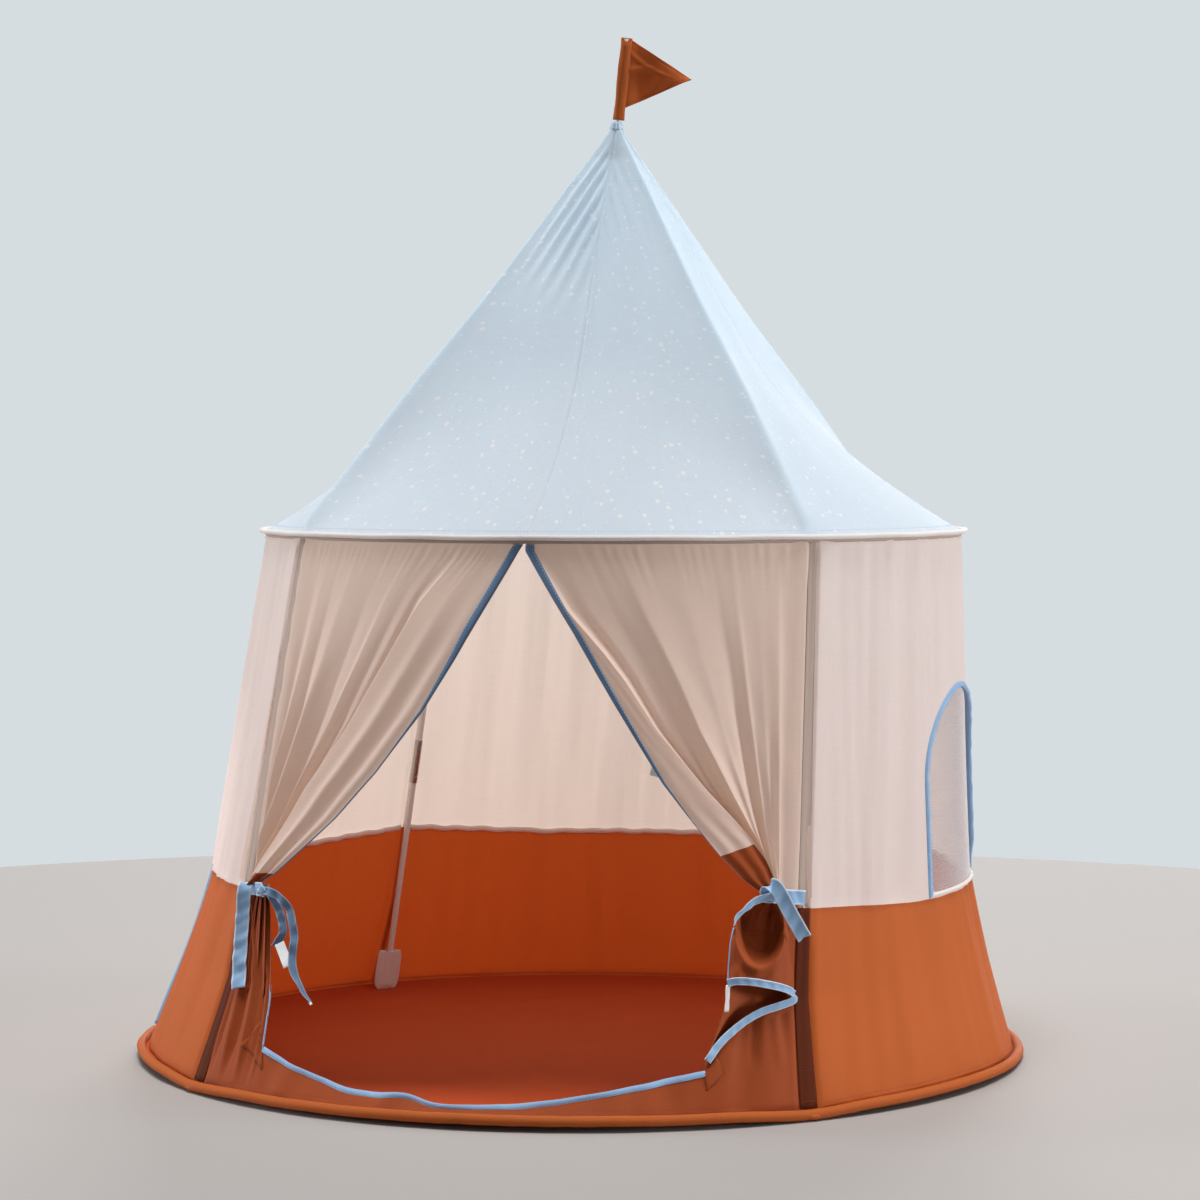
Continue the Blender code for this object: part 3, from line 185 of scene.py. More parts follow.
def roof_radius(azimuth, z):
    share = (z - EAVES_HEIGHT) / (APEX_HEIGHT - EAVES_HEIGHT)
    ridge = EAVES_SEAM * (1 - share)
    off = off_corner(azimuth, EAVES_HEIGHT)
    soft = np.clip(0.003 / np.maximum(ridge, 0.02), 0, 0.25)
    off_middle = QUARTER - (np.sqrt(off**2 + soft**2) - soft * 0.3)
    chord = ridge * math.cos(QUARTER) / np.cos(off_middle)
    roundness = np.clip(1 - share / 0.45, 0, None) ** 2.15 / np.maximum(0.45, 1 - share)
    return chord + roundness * (ridge - chord)


def floor_lift(azimuth):
    """The floor hoop stands a little off the floor in front, between and beside the poles."""
    off = np.abs((azimuth + math.pi) % TURN - math.pi)
    front = smooth((math.radians(95) - off) / math.radians(30))
    foot = bump(off_corner(azimuth, 0) / math.radians(6))
    return 0.0055 * front * (1 - 0.8 * foot) + 0.0008 * (1 + np.sin(azimuth * 5 + 1))


def foot_height(azimuth):
    return FLOOR_TUBE + 0.002 + floor_lift(azimuth)


def waves(u, v, seed, count, low, high, slant=0.3):
    """Smooth random ripples that run mostly along v."""
    rng = np.random.RandomState(seed)
    total = 0
    for _ in range(count):
        f = rng.uniform(low, high)
        total += np.sin(TURN * (f * u + rng.uniform(-slant, slant) * f * v) + rng.uniform(0, TURN))
    return total / math.sqrt(count)


def curve_through(points, count):
    """A smooth route through points: Catmull-Rom, evenly spaced."""
    p = np.asarray(points, float)
    p = np.vstack([2 * p[0] - p[1], p, 2 * p[-1] - p[-2]])
    t = np.linspace(0, 1, 24, endpoint=False)[:, None]
    fine = []
    for a, b, c, d in zip(p, p[1:], p[2:], p[3:]):
        fine.append(
            0.5 * (2 * b + (c - a) * t + (2 * a - 5 * b + 4 * c - d) * t**2 + (3 * b - a - 3 * c + d) * t**3)
        )
    fine = np.vstack(fine + [p[-2][None]])
    run = run_length(fine)
    at = np.linspace(0, run[-1], count)
    return np.stack([np.interp(at, run, column) for column in fine.T], -1)


def seen(spots):
    """Points on or before the wall where the camera sees them: (across, down, proud) in its frame."""
    x, y, proud = np.asarray(spots, float).T
    near, far = np.full(len(x), 3.7), np.full(len(x), 4.75)
    for _ in range(44):
        depth = (near + far) / 2
        across = CAMERA_ASIDE + (x - FRAME / 2) / FOCAL * depth
        point = across[:, None] * RIGHTWARD + (CAMERA_DISTANCE - depth)[:, None] * NEARWARD
        point[:, 2] = CAMERA_HEIGHT + (FRAME / 2 - HORIZON - y) / FOCAL * depth
        aside = point[:, 0] - lean_at(point[:, 2])
        azimuth = np.arctan2(aside, -point[:, 1])
        outside = np.hypot(aside, point[:, 1]) > wall_radius(azimuth, point[:, 2]) + proud
        near, far = np.where(outside, depth, near), np.where(outside, far, depth)
    return point


def seen_route(spots, count):
    """A smooth route through places in the camera's frame, how far proud in millimetres."""
    return seen(curve_through(np.array(spots) * (1, 1, 0.001), count))


def spots_between(left, right, rows, columns):
    """A grid of places in the camera's frame between two edges, and its shares across and down."""
    s, t = shares(columns, rows)
    left, right = curve_through(left, rows), curve_through(right, rows)
    spots = lerp(left[:, None], right[:, None], s[..., None])
    return spots[..., 0], spots[..., 1], s, t


def seen_grid(x, y, proud):
    return seen(np.stack([x, y, proud], -1).reshape(-1, 3)).reshape(*x.shape, 3)


WINDOW_WIDTH, WINDOW_HEIGHT, WINDOW_ARCH, WINDOW_MIDDLE = 0.28, 0.262, 0.12, -0.025
TAPE_WIDTH = 0.008
WINDOW_FOOT = SEAM_HEIGHT + 0.0006 + TAPE_WIDTH / 2
WINDOW_SPRING = WINDOW_FOOT + WINDOW_HEIGHT - WINDOW_ARCH


def clear_of_window(azimuth, z):
    """0 on the window's outline and 1 away from it, so that no ripple lies over its binding."""
    y = -wall_radius(azimuth, z) * np.cos(azimuth) - WINDOW_MIDDLE
    up = np.clip(z - WINDOW_SPRING, 0, None) / WINDOW_ARCH
    out = smooth((np.hypot(y / (WINDOW_WIDTH / 2), up) - 1.05) / 0.25)
    return np.where((np.sin(azimuth) > 0.7) & (z > SEAM_HEIGHT), out, 1.0)


# Beside each pole the cloth is folded: a groove with a proud edge to each side.
RELIEF_AT = [0, 0.006, 0.0072, 0.01, 0.017, 0.03, 0.045]
RELIEF = [-0.0006, -0.0006, 0.0006, 0.004, 0.0036, 0.0012, 0.0]


def pole_relief(distance):
    return np.interp(distance, RELIEF_AT, RELIEF)


def skin(azimuth, z, proud=0.0):
    """A point of the wall's or skirt's outer face, with its folds and ripples."""
    radius = wall_radius(azimuth, z)
    distance = off_corner(azimuth, z) * radius
    edge = smooth((EAVES_HEIGHT - z) / 0.02) * smooth((z - 0.01) / 0.012)
    around = azimuth * 0.5
    hang = waves(around, z, 3, 7, 7, 19, 0.1) * 0.0021 + waves(around, z, 4, 6, 22, 45, 0.06) * 0.0009
    low = waves(around, z, 5, 5, 4, 11, 0.35) * 0.0015 + waves(around, z, 6, 5, 14, 30, 0.25) * 0.0009
    ripple = lerp(low, hang, smooth((z - 0.22) / 0.05)) * clear_of_window(azimuth, z)
    ripple = ripple * edge * smooth((distance - 0.02) / 0.04)
    # Soft pleats run down from where the poles lift the seam.
    pleats = bump((z - 0.2) / 0.09) * bump((distance - 0.03) / 0.05) * np.sin(distance / 0.0085 * math.pi)
    groove = pole_relief(distance * np.interp(z, [0, 0.2, 0.26], [0.5, 0.75, 1.0]))
    return place(radius + proud + edge * groove + ripple + 0.0011 * pleats, azimuth, z)


# Materials


def node(tree, kind, inputs=None, **settings):
    made = tree.nodes.new(kind)
    for key, value in settings.items():
        setattr(made, key, value)
    for key, value in (inputs or {}).items():
        socket = made.inputs[key]
        if isinstance(value, bpy.types.NodeSocket):
            tree.links.new(value, socket)
        else:
            socket.default_value = value
    return made


def blank_material(name):
    mat = bpy.data.materials.new(name)
    mat.use_nodes = True
    mat.node_tree.nodes.clear()
    return mat, mat.node_tree


def srgb(*colour):
    linear = [c / 255 / 12.92 if c <= 10 else ((c / 255 + 0.055) / 1.055) ** 2.4 for c in colour]
    return (*linear, 1.0)


def math_node(tree, operation, a, b=0.0, c=0.0):
    return node(tree, "ShaderNodeMath", {0: a, 1: b, 2: c}, operation=operation).outputs[0]


def mix_colour(tree, share, a, b):
    return node(tree, "ShaderNodeMix", {"Factor": share, 6: a, 7: b}, data_type="RGBA").outputs[2]


def tinted(tree, share, colour, dark, light):
    """A colour that wanders between a darker and a lighter shade of itself."""
    shades = [(*(min(1.0, c * by) for c in colour[:3]), 1.0) for by in (dark, light)]
    return mix_colour(tree, share, *shades)


def noise(tree, source, detail, scale=1.0, distortion=0.0):
    inputs = {"Vector": source, "Scale": scale, "Detail": detail, "Distortion": distortion}
    return node(tree, "ShaderNodeTexNoise", inputs).outputs["Fac"]


def stretched(tree, source, *scale):
    return node(tree, "ShaderNodeMapping", {"Vector": source, "Scale": scale}).outputs[0]


def raised(tree, height, strength, distance, under=None):
    inputs = {"Height": height, "Strength": strength, "Distance": distance}
    if under:
        inputs["Normal"] = under
    return node(tree, "ShaderNodeBump", inputs).outputs[0]


def fabric(
    name, colour, through=None, share=0.25, pitch=0.0007, crease=0.0006,
    dots=(), rim=None, gloss=0.25, sheen=0.12,
):
    """Woven cloth: threads, slubs and soft creases; it lets some light through."""
    mat, tree = blank_material(name)
    colour = srgb(*colour)
    cloth = node(tree, "ShaderNodeUVMap", uv_map="cloth").outputs[0]
    weave = {"Vector": cloth, "Scale": 0.314 / pitch, "Distortion": 0.4}
    bands = [node(tree, "ShaderNodeTexWave", weave, bands_direction=way).outputs["Fac"] for way in "XY"]
    slubs = [noise(tree, stretched(tree, cloth, *way, 1), 1.0) for way in ((700, 30), (30, 700))]
    soft = noise(tree, stretched(tree, cloth, 38, 16, 1), 2.5, distortion=0.4)
    tone = math_node(tree, "MULTIPLY_ADD", math_node(tree, "ADD", *slubs), 0.7, -0.35)
    tone = math_node(tree, "MULTIPLY_ADD", noise(tree, cloth, 3.0, 7.0), 0.45, tone)
    base = tinted(tree, tone, colour, 0.9, 1.07)
    for scale, least, most, kept, tint in dots:
        inputs = {"Vector": cloth, "Scale": scale, "Randomness": 0.8}
        cells = node(tree, "ShaderNodeTexVoronoi", inputs, voronoi_dimensions="2D")
        parts = node(tree, "ShaderNodeSeparateColor", {"Color": cells.outputs["Color"]})
        size = math_node(tree, "MULTIPLY_ADD", parts.outputs[1], (most - least) * scale, least * scale)
        inside = math_node(tree, "LESS_THAN", cells.outputs["Distance"], size)
        shown = math_node(tree, "GREATER_THAN", parts.outputs[0], 1 - kept)
        base = mix_colour(tree, math_node(tree, "MULTIPLY", inside, shown), base, srgb(*tint))
    if rim:
        place_across = node(tree, "ShaderNodeUVMap", uv_map="rim").outputs[0]
        far = node(tree, "ShaderNodeSeparateXYZ", {0: place_across}).outputs[0]
        edge = math_node(tree, "GREATER_THAN", far, 0.8)
        base = mix_colour(tree, math_node(tree, "MULTIPLY", edge, 0.9), base, srgb(*rim))
    fine = raised(tree, math_node(tree, "MULTIPLY", *bands), 0.3, pitch * 0.25)
    creased = raised(tree, soft, 0.6, crease, fine)
    inputs = {"Base Color": base, "Roughness": 0.75, "Normal": creased}
    inputs.update({"Specular IOR Level": gloss, "Sheen Weight": sheen, "Sheen Roughness": 0.5})
    surface = node(tree, "ShaderNodeBsdfPrincipled", inputs).outputs[0]
    if share:
        inputs = {"Color": srgb(*through) if through else colour, "Normal": creased}
        glow = node(tree, "ShaderNodeBsdfTranslucent", inputs).outputs[0]
        surface = node(tree, "ShaderNodeMixShader", {0: share, 1: surface, 2: glow}).outputs[0]
    node(tree, "ShaderNodeOutputMaterial", {"Surface": surface})
    return mat


def hard(name, colour, roughness, metallic=0.0):
    """Plastic, fibreglass or metal, with a fine grain along Z and slight wear."""
    mat, tree = blank_material(name)
    coords = node(tree, "ShaderNodeTexCoord").outputs["Object"]
    streaks = noise(tree, stretched(tree, coords, 400, 400, 30), 3.0)
    blotch = math_node(tree, "MULTIPLY", noise(tree, coords, 2.0, 30.0), 0.4)
    base = tinted(tree, math_node(tree, "MULTIPLY_ADD", streaks, 0.6, blotch), srgb(*colour), 0.86, 1.12)
    rough = math_node(tree, "MULTIPLY_ADD", streaks, 0.25, roughness - 0.12)
    grain = raised(tree, streaks, 0.3, 0.00005)
    inputs = {"Base Color": base, "Roughness": rough, "Normal": grain, "Metallic": metallic}
    shader = node(tree, "ShaderNodeBsdfPrincipled", inputs)
    node(tree, "ShaderNodeOutputMaterial", {"Surface": shader.outputs[0]})
    return mat


DOT_WHITE, DOT_CREAM = (248, 251, 254), (246, 246, 248)
# Each size of dot: cells per metre, least and largest radius, share of the cells that show one, tint.
DOTS = (
    (56, 0.0009, 0.0015, 0.5, DOT_WHITE),
    (33, 0.0015, 0.0026, 0.8, DOT_WHITE),
    (19, 0.0027, 0.0036, 0.6, DOT_CREAM),
)
TAPE = dict(pitch=0.0009, crease=0.0005)
# The rust strips and the groundsheet let no light through and have no sheen; thread has no creases.
DULL = dict(share=0.0, sheen=0.0)
THREAD = dict(share=0.0, crease=0.0)
# Each look's slot and material.
LOOKS = {
    "roof": ("roof_cloth", fabric("roof_cloth", (213, 231, 244), (225, 241, 250), 0.38, dots=DOTS)),
    "pale": ("wall_cloth", fabric("wall_cloth", (243, 232, 229), (248, 229, 213), 0.44)),
    # The curtains' cloth: the wall's pale cloth darkened as painted shade.
    "door_pale_painted_shade": ("wall_cloth", fabric("curtain_cloth_painted_shade", (227, 207, 195), (240, 213, 190), 0.4)),
    "rust": ("skirt_cloth", fabric("skirt_cloth", (188, 96, 40), (210, 80, 28), 0.24, sheen=0.0)),
    # The door's rust: the skirt's rust darkened as painted shade, and letting less light through.
    "door_rust_painted_shade": ("skirt_cloth", fabric("door_cloth_painted_shade", (146, 64, 22), (176, 66, 24), 0.05, sheen=0.0)),
    "piping": ("wall_cloth", fabric("piping_cloth", (242, 236, 233), (246, 238, 232), 0.25)),
    # The strips in the front poles' grooves and the lip under the eaves: cloth darkened as painted shade.
    "shade_rust": ("skirt_cloth", fabric("strip_rust_painted_shade", (84, 34, 13), gloss=0.1, **DULL)),
    "shade_pale": ("wall_cloth", fabric("strip_pale_painted_shade", (190, 168, 156), share=0.2)),
    "ground": ("ground_cloth", fabric("ground_cloth", (182, 74, 38), crease=0.001, gloss=0.04, **DULL)),
    "tape": ("tape", fabric("tape_cloth", (146, 180, 216), share=0.08, rim=(206, 218, 232), **TAPE)),
    # The binding tape and its rim darkened as painted shade, for edges and ends that face away or hang
    # inside.
    "tape_painted_shade": ("tape", fabric("tape_cloth_painted_shade", (96, 120, 148), share=0.05, rim=(136, 152, 172), **TAPE)),
    "net": ("netting", fabric("net_thread", (248, 240, 240), share=0.3, crease=0.0001)),
    "pocket": ("pocket_cloth", fabric("pocket_cloth", (232, 218, 210), share=0.0, pitch=0.001)),
    "label": (None, fabric("label_cloth", (236, 236, 238), share=0.15, pitch=0.0005, crease=0.0002)),
    "thread_rust": ("skirt_cloth", fabric("thread_rust", (112, 50, 24), **THREAD)),
    "thread_pale": ("wall_cloth", fabric("thread_pale", (228, 216, 206), **THREAD)),
    "thread_blue": ("tape", fabric("thread_blue", (170, 196, 224), **THREAD)),
    "rod": ("rod", hard("rod_fibreglass", (226, 223, 219), 0.45)),
    "steel": ("ferrule", hard("ferrule_steel", (176, 174, 170), 0.28, 1.0)),
    "wire": ("hoop_rod", hard("hoop_plastic", (120, 118, 116), 0.5)),
    "hub": ("hub", hard("hub_plastic", (60, 60, 62), 0.5)),
    "stick": ("stick", hard("stick_plastic", (230, 228, 222), 0.45)),
}


# Builders


def vertex_map(mesh, name, values):
    """A UV map that gives each vertex one place."""
    loops = np.empty(len(mesh.loops), np.int32)
    mesh.loops.foreach_get("vertex_index", loops)
    layer = mesh.uv_layers.new(name=name)
    layer.data.foreach_set("uv", np.asarray(values, np.float32).reshape(-1, 2)[loops].ravel())


def piece(name, points, faces, look, body="tent", uv=None, nodes=(), thickness=0.0, offset=-1.0):
    """One mesh of the scene, its cloth coordinates in metres."""
    slot, material = LOOKS[look]
    points = np.asarray(points, float).reshape(-1, 3)
    mesh = bpy.data.meshes.new(name)
    mesh.from_pydata(points.tolist(), [], faces)
    mesh.shade_smooth()
    vertex_map(mesh, "cloth", points[:, [0, 2]] if uv is None else uv)
    mesh.materials.append(material)
    obj = link(name, mesh)
    if thickness:
        shell = obj.modifiers.new("thickness", "SOLIDIFY")
        shell.thickness, shell.offset = thickness, offset
    if nodes:
        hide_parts(*nodes)
    if body:
        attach(obj, body)
    return obj


def grid_faces(rows, columns, wrap=False, flip=False):
    faces = []
    for i in range(rows - 1):
        for j in range(columns if wrap else columns - 1):
            k = (j + 1) % columns
            quad = (i * columns + j, i * columns + k, (i + 1) * columns + k, (i + 1) * columns + j)
            faces.append(quad[::-1] if flip else quad)
    return faces


def swept_faces(count, sides, closed=False, flip=False):
    """A row of rings: its last ring joins its first, or both ends are shut."""
    faces = grid_faces(count + closed, sides, True)
    if closed:
        faces = [tuple(v % (count * sides) for v in f) for f in faces]
    else:
        last = (count - 1) * sides
        faces += [tuple(range(sides))[::-1], tuple(range(last, last + sides))]
    return [f[::-1] for f in faces] if flip else faces


def outward(points):
    """True if the grid's faces already look away from the tent's axis."""
    down = points[1:, :-1] - points[:-1, :-1]
    across = points[:-1, 1:] - points[:-1, :-1]
    middle = points[:-1, :-1] - np.array([lean_at(0.5), 0, 0.35])
    return float((np.cross(across, down) * middle).sum()) > 0


def sheet(name, points, look, body="tent", uv=None, nodes=(), thickness=CLOTH, offset=-1.0, wrap=False):
    points = np.asarray(points, float)
    rows, columns = points.shape[:2]
    faces = grid_faces(rows, columns, wrap, flip=not outward(points))
    return piece(name, points, faces, look, body, uv, nodes, thickness, offset)


def lengths(points, axis):
    """Distance along the rows or columns of a grid, for cloth coordinates."""
    step = np.linalg.norm(np.diff(points, axis=axis), axis=-1)
    pad = [(0, 0), (0, 0)]
    pad[axis] = (1, 0)
    return np.cumsum(np.pad(step, pad), axis=axis)


def cloth_uv(points):
    return np.stack([lengths(points, 1), lengths(points, 0)], -1)


def flat_uv(u, v):
    return np.stack(np.broadcast_arrays(u, v), -1)


def tube(
    name, path, radius, look, body="tent", sides=12, closed=False, squash=1.0, tall=1.0, up=UPWARD, nodes=()
):
    """A tube along a path. radius may differ along it; squash scales it across and tall along up."""
    path = np.asarray(path, float)
    count = len(path)
    ahead = np.roll(path, -1, 0) - np.roll(path, 1, 0)
    if not closed:
        ahead[0], ahead[-1] = path[1] - path[0], path[-1] - path[-2]
    ahead = unit(ahead)
    side = unit(np.cross(ahead, up))
    over = np.cross(side, ahead)
    radius = np.broadcast_to(radius, count)[:, None, None]
    angles = circle(sides)
    ring = side[:, None] * np.cos(angles)[:, None] * squash + over[:, None] * np.sin(angles)[:, None] * tall
    points = path[:, None] + ring * radius
    along = 0.01 * np.arange(count)[:, None] if closed else lengths(points, 0)
    uv = flat_uv(angles * float(np.max(radius)), along)
    return piece(name, points, swept_faces(count, sides, closed, flip=True), look, body, uv, nodes)


def folded_tape(name, rings, look, body="tent", nodes=(), flip=False):
    """A tape folded over an edge: each ring is one line of points along it."""
    grid = np.stack(rings, 1)
    uv = flat_uv(np.linspace(0, 0.02, len(rings)), lengths(grid, 0))
    return piece(name, grid, swept_faces(len(grid), len(rings), flip=flip), look, body, uv, nodes)


def ribbon(
    name, route, across, width, look, body,
    thickness=0.0009, cup=0.0, twist=0.0, fray=0.0, nodes=(), wobble=0.0006,
):
    """A flat tape along a route. across is its width direction; it may cup, twist, wrinkle and fray."""
    route = np.asarray(route, float)
    count = len(route)
    ahead = unit(np.gradient(route, axis=0))
    side = unit(across - ahead * (across * ahead).sum(1)[:, None])
    out = np.cross(side, ahead)
    turn = np.linspace(0, twist, count)[:, None]
    side, out = side * np.cos(turn) + out * np.sin(turn), out * np.cos(turn) - side * np.sin(turn)
    run = run_length(route)
    columns = np.linspace(-0.5, 0.5, 11)
    seed = sum(map(ord, name))
    points = np.zeros((count, 11, 3))
    for j, c in enumerate(columns):
        lift = cup * (1 - (2 * c) ** 2) + wobble * waves(run, c * width, seed, 5, 25, 75, 0.8)
        points[:, j] = route + side * np.broadcast_to(width * c, count)[:, None] + out * lift[:, None]
    if fray:
        rng = np.random.RandomState(8)
        points[-1] += ahead[-1] * fray * rng.uniform(-1, 1, 11)[:, None]
    made = sheet(name, points, look, body, cloth_uv(points), nodes, thickness, 0.0)
    # The tape is paler along both its edges: this second map says how far across a point is.
    share = np.broadcast_to(np.abs(2 * columns), (count, 11))
    vertex_map(made.data, "rim", flat_uv(share, share))
    return made


def seen_tape(name, spots, count, across, width, look, body, thickness=0.0009, **more):
    """A ribbon through places in the camera's frame; across is (rightward, upward, nearward)."""
    across = across @ np.array([RIGHTWARD, UPWARD, NEARWARD])
    return ribbon(name, seen_route(spots, count), across, width, look, body, thickness, **more)


def stitches(name, route, normals, look, body="tent", pitch=0.0042, length=0.0027, radius=0.00032):
    """Short raised threads along a route."""
    run = run_length(route)
    middles = np.arange(pitch / 2, run[-1], pitch)

    def at(where, values=route):
        return np.stack([np.interp(where, run, column) for column in values.T], -1)

    centre, start, end = at(middles), at(middles - length / 2), at(middles + length / 2)
    out = unit(at(middles, np.broadcast_to(normals, route.shape)))
    side = unit(np.cross(out, end - start)) * radius
    corners = [start, centre + side, centre + out * radius * 1.4, centre - side, centre - out * radius, end]
    faces = []
    for k in range(0, 6 * len(centre), 6):
        for a, b in ((1, 2), (2, 3), (3, 4), (4, 1)):
            faces += [(k, k + b, k + a), (k + 5, k + a, k + b)]
    return piece(name, np.stack(corners, 1), faces, look, body)


def dense(width, near, step=0.0075):
    """Shares across a width, closer together at both ends."""
    near = np.asarray(near)
    count = max(3, int((width - 2 * near[-1]) / step))
    middle = np.linspace(near[-1], width - near[-1], count)[1:-1]
    return np.concatenate([near, middle, (width - near)[::-1]]) / width


# Roof

# The folds below the point: place beside the ridge, width and depth.
ROOF_FOLDS = (
    (0.012, 0.0036, 0.005),
    (0.022, 0.004, 0.0075),
    (0.034, 0.0046, 0.009),
    (0.047, 0.0054, 0.008),
    (0.062, 0.007, 0.005),
)
ROOF_TOP, POINT_ROW, EAVES_ROW = APEX_HEIGHT - 0.0095, 1.175, EAVES_HEIGHT + 0.0075


def make_roof():
    """Four panels, each over one pole, sewn together half way between the poles."""
    seam = np.array([0, 0.0015, 0.003, 0.006, 0.01])
    across = np.concatenate([seam, np.linspace(0.016, 0.984, 118), 1 - seam[::-1]])
    for corner, label in enumerate(CORNERS):
        middle = EAVES_AZIMUTHS[corner]
        a = middle + QUARTER * (2 * across - 1)
        azimuth, height = np.meshgrid(a, np.linspace(EAVES_HEIGHT + THICK, ROOF_TOP, 96))
        radius = roof_radius(azimuth, height)
        share = (height - EAVES_HEIGHT) / (ROOF_TOP - EAVES_HEIGHT)
        below = APEX_HEIGHT - height
        from_ridge = np.abs(azimuth - middle) * radius
        from_seam = QUARTER * radius - from_ridge
        away = smooth(from_seam / 0.02)
        # The seam is a fine groove; the pole shows as a soft ridge.
        proud = 0.0005 * bump((from_seam - 0.0035) / 0.0025) - 0.0012 * bump(from_seam / 0.0009)
        proud += 0.001 * bump(from_ridge / 0.003)
        ridge = smooth(share / 0.05) * (1 - smooth((share - 0.3) / 0.3))
        proud += 0.01 * np.clip(1 - from_ridge / 0.055, 0, 1) ** 2 * ridge
        # Small gathers along the eaves and broad slack between.
        gathers = waves(azimuth * 0.47, height, 20 + corner, 5, 40, 75, 0.1)
        proud += 0.0005 * bump(share / 0.05) * gathers * smooth(share / 0.012)
        slack = waves(azimuth * 0.3, height, 30 + corner, 6, 3, 9, 0.6)
        proud += 0.0015 * away * smooth(share / 0.08) * slack * (1 - share)
        # Folds run down from the seam's top, in line with the pole's ridge.
        strength = 0.2 * smooth(from_seam / 0.009)
        if label == "front_left":
            strength = 4 * strength * smooth((azimuth - middle) / 0.08)
        for start, wide, deep in ROOF_FOLDS:
            line = from_ridge - start * (1 + 0.6 * np.clip(below - start * 1.5, 0, None) / 0.2)
            fade = smooth((0.225 - below + start) / 0.13) * smooth((below - 0.02) / 0.02)
            fold = bump(line / wide) - 0.7 * bump((line - wide * 1.5) / (wide * 0.8))
            proud += strength * fade * deep * fold
        # Little pleats hang from the row of stitches near the point.
        hang = bump((1.172 - height) / 0.022) * (height < 1.176) * away
        proud += 0.0009 * hang * np.sin(from_ridge / 0.0105 * TURN + 1)
        points = place(np.maximum(radius + proud, 0.0075), azimuth, height)
        # The cloth laid flat: a cone's panel is a sector.
        length = below / math.cos(TILT)
        turned_by = (azimuth - middle) * math.sin(TILT)
        uv = flat_uv(length * np.sin(turned_by) + corner * 1.37, length * np.cos(turned_by) + corner * 0.53)
        panel = sheet("roof_panel_" + label, points, "roof", uv=uv, nodes=["roof_" + label], thickness=0)
        # One row of stitches closes the point's reinforcement, and one runs along the eaves.
        for name, z, lift, ends in (("roof", POINT_ROW, 0.0006, 6), ("eaves", EAVES_ROW, 0.001, 0)):
            line = a[ends:len(a) - ends]
            row = place(roof_radius(line, z) + lift, line, z)
            stitches("%s_stitches_%s" % (name, label), row, radial(line) + SLOPE * UPWARD, "thread_blue")


def make_cap():
    """The roof's gathered tip, pinched round the flag's sleeve."""
    z = np.linspace(APEX_HEIGHT - 0.0105, APEX_HEIGHT + 0.0008, 9)
    azimuth, height = np.meshgrid(circle(72), z)
    share = (height - z[0]) / (z[-1] - z[0])
    gathers = 0.0007 * np.sin(azimuth * 9 + 2 * np.sin(azimuth * 2)) * (1 - share * 0.3)
    radius = lerp(0.0092, 0.0068, share) + gathers - 0.003 * smooth((share - 0.85) / 0.15)
    uv = flat_uv(azimuth * 0.01, height)
    sheet("roof_point", place(radius, azimuth, height), "roof", uv=uv, wrap=True)


# Eaves and floor piping


def make_ring(name, run, tube_radius, look, node_name, tall=1.0):
    """A hoop or its channel; run is (radius, height, seed, how far each pole pushes it out)."""
    centre_radius, height_of, seed, kink = run
    a = circle(360)
    height = height_of(a)
    near = bump(off_corner(a, height) / math.radians(2.2))
    wave = 0.0006 * waves(a * 0.5, 0, seed, 5, 3, 12)
    path = place(centre_radius + wave * 0.5 + kink * near, a, height + wave * 0.4)
    radius = tube_radius * (1 + 0.025 * waves(a * 0.5, 0, seed + 1, 6, 20, 60))
    tube(name, path, radius, look, sides=14, closed=True, nodes=[node_name], tall=tall)


def make_piping():
    eaves = (EAVES_RADIUS - EAVES_TUBE, lambda a: EAVES_HEIGHT + 0 * a, 60, 0.0012)
    floor = (FLOOR_RADIUS - FLOOR_TUBE, lambda a: FLOOR_TUBE + floor_lift(a), 70, 0.0)
    make_ring("eaves_piping", eaves, EAVES_TUBE, "piping", "eaves_channel", 0.72)
    make_ring("eaves_wire", eaves, 0.0022, "wire", "eaves_hoop")
    make_ring("floor_piping", floor, FLOOR_TUBE, "rust", "floor_channel")
    make_ring("floor_wire", floor, 0.0025, "wire", "floor_hoop")
    # A folded lip where the roof and the wall are sewn into the eaves piping; its cloth is darkened as
    # painted shade under the piping.
    a = circle(360)
    azimuth, t = np.meshgrid(a, np.linspace(0, 1, 4))
    swell = 0.001 + 0.0006 * np.sin(t * math.pi) + 0.0003 * waves(azimuth * 0.5, 0, 61, 5, 20, 50)
    points = place(EAVES_SEAM + swell, azimuth, EAVES_HEIGHT - 0.0025 - 0.005 * t)
    sheet("eaves_lip", points, "shade_pale", uv=flat_uv(azimuth * 0.47, t * 0.005), wrap=True)
    row = place(EAVES_SEAM + 0.003, a, EAVES_HEIGHT - 0.0095)
    stitches("wall_top_stitches", row, radial(a), "thread_pale")
    z = 2 * FLOOR_TUBE + 0.004
    row = place(wall_radius(a, z) + 0.0007, a, z + floor_lift(a))
    stitches("skirt_foot_stitches", row, radial(a), "thread_rust")
    # Each pole's foot pushes a small bulge of cloth down under the hoop.
    u, v = shares(17, 13, -1)
    puff = np.sqrt(np.clip(1 - u**2 * 0.999, 0, 1)) ** 1.2 * np.sqrt(np.clip(1 - v**2 * 0.999, 0, 1))
    for middle, label in zip(FLOOR_AZIMUTHS, CORNERS):
        azimuth = middle + u * 0.017 / FLOOR_RADIUS
        points = place(FLOOR_RADIUS - 0.011 + 0.0125 * puff, azimuth, 0.0062 + 0.0058 * v)
        sheet("foot_bulge_" + label, points, "rust", uv=flat_uv(u * 0.017, v * 0.006))


# Walls and skirts

NEAR_POLE = [0, 0.004, 0.0065, 0.0075, 0.0085, 0.01, 0.0115, 0.0145, 0.018, 0.024, 0.03, 0.038, 0.046]


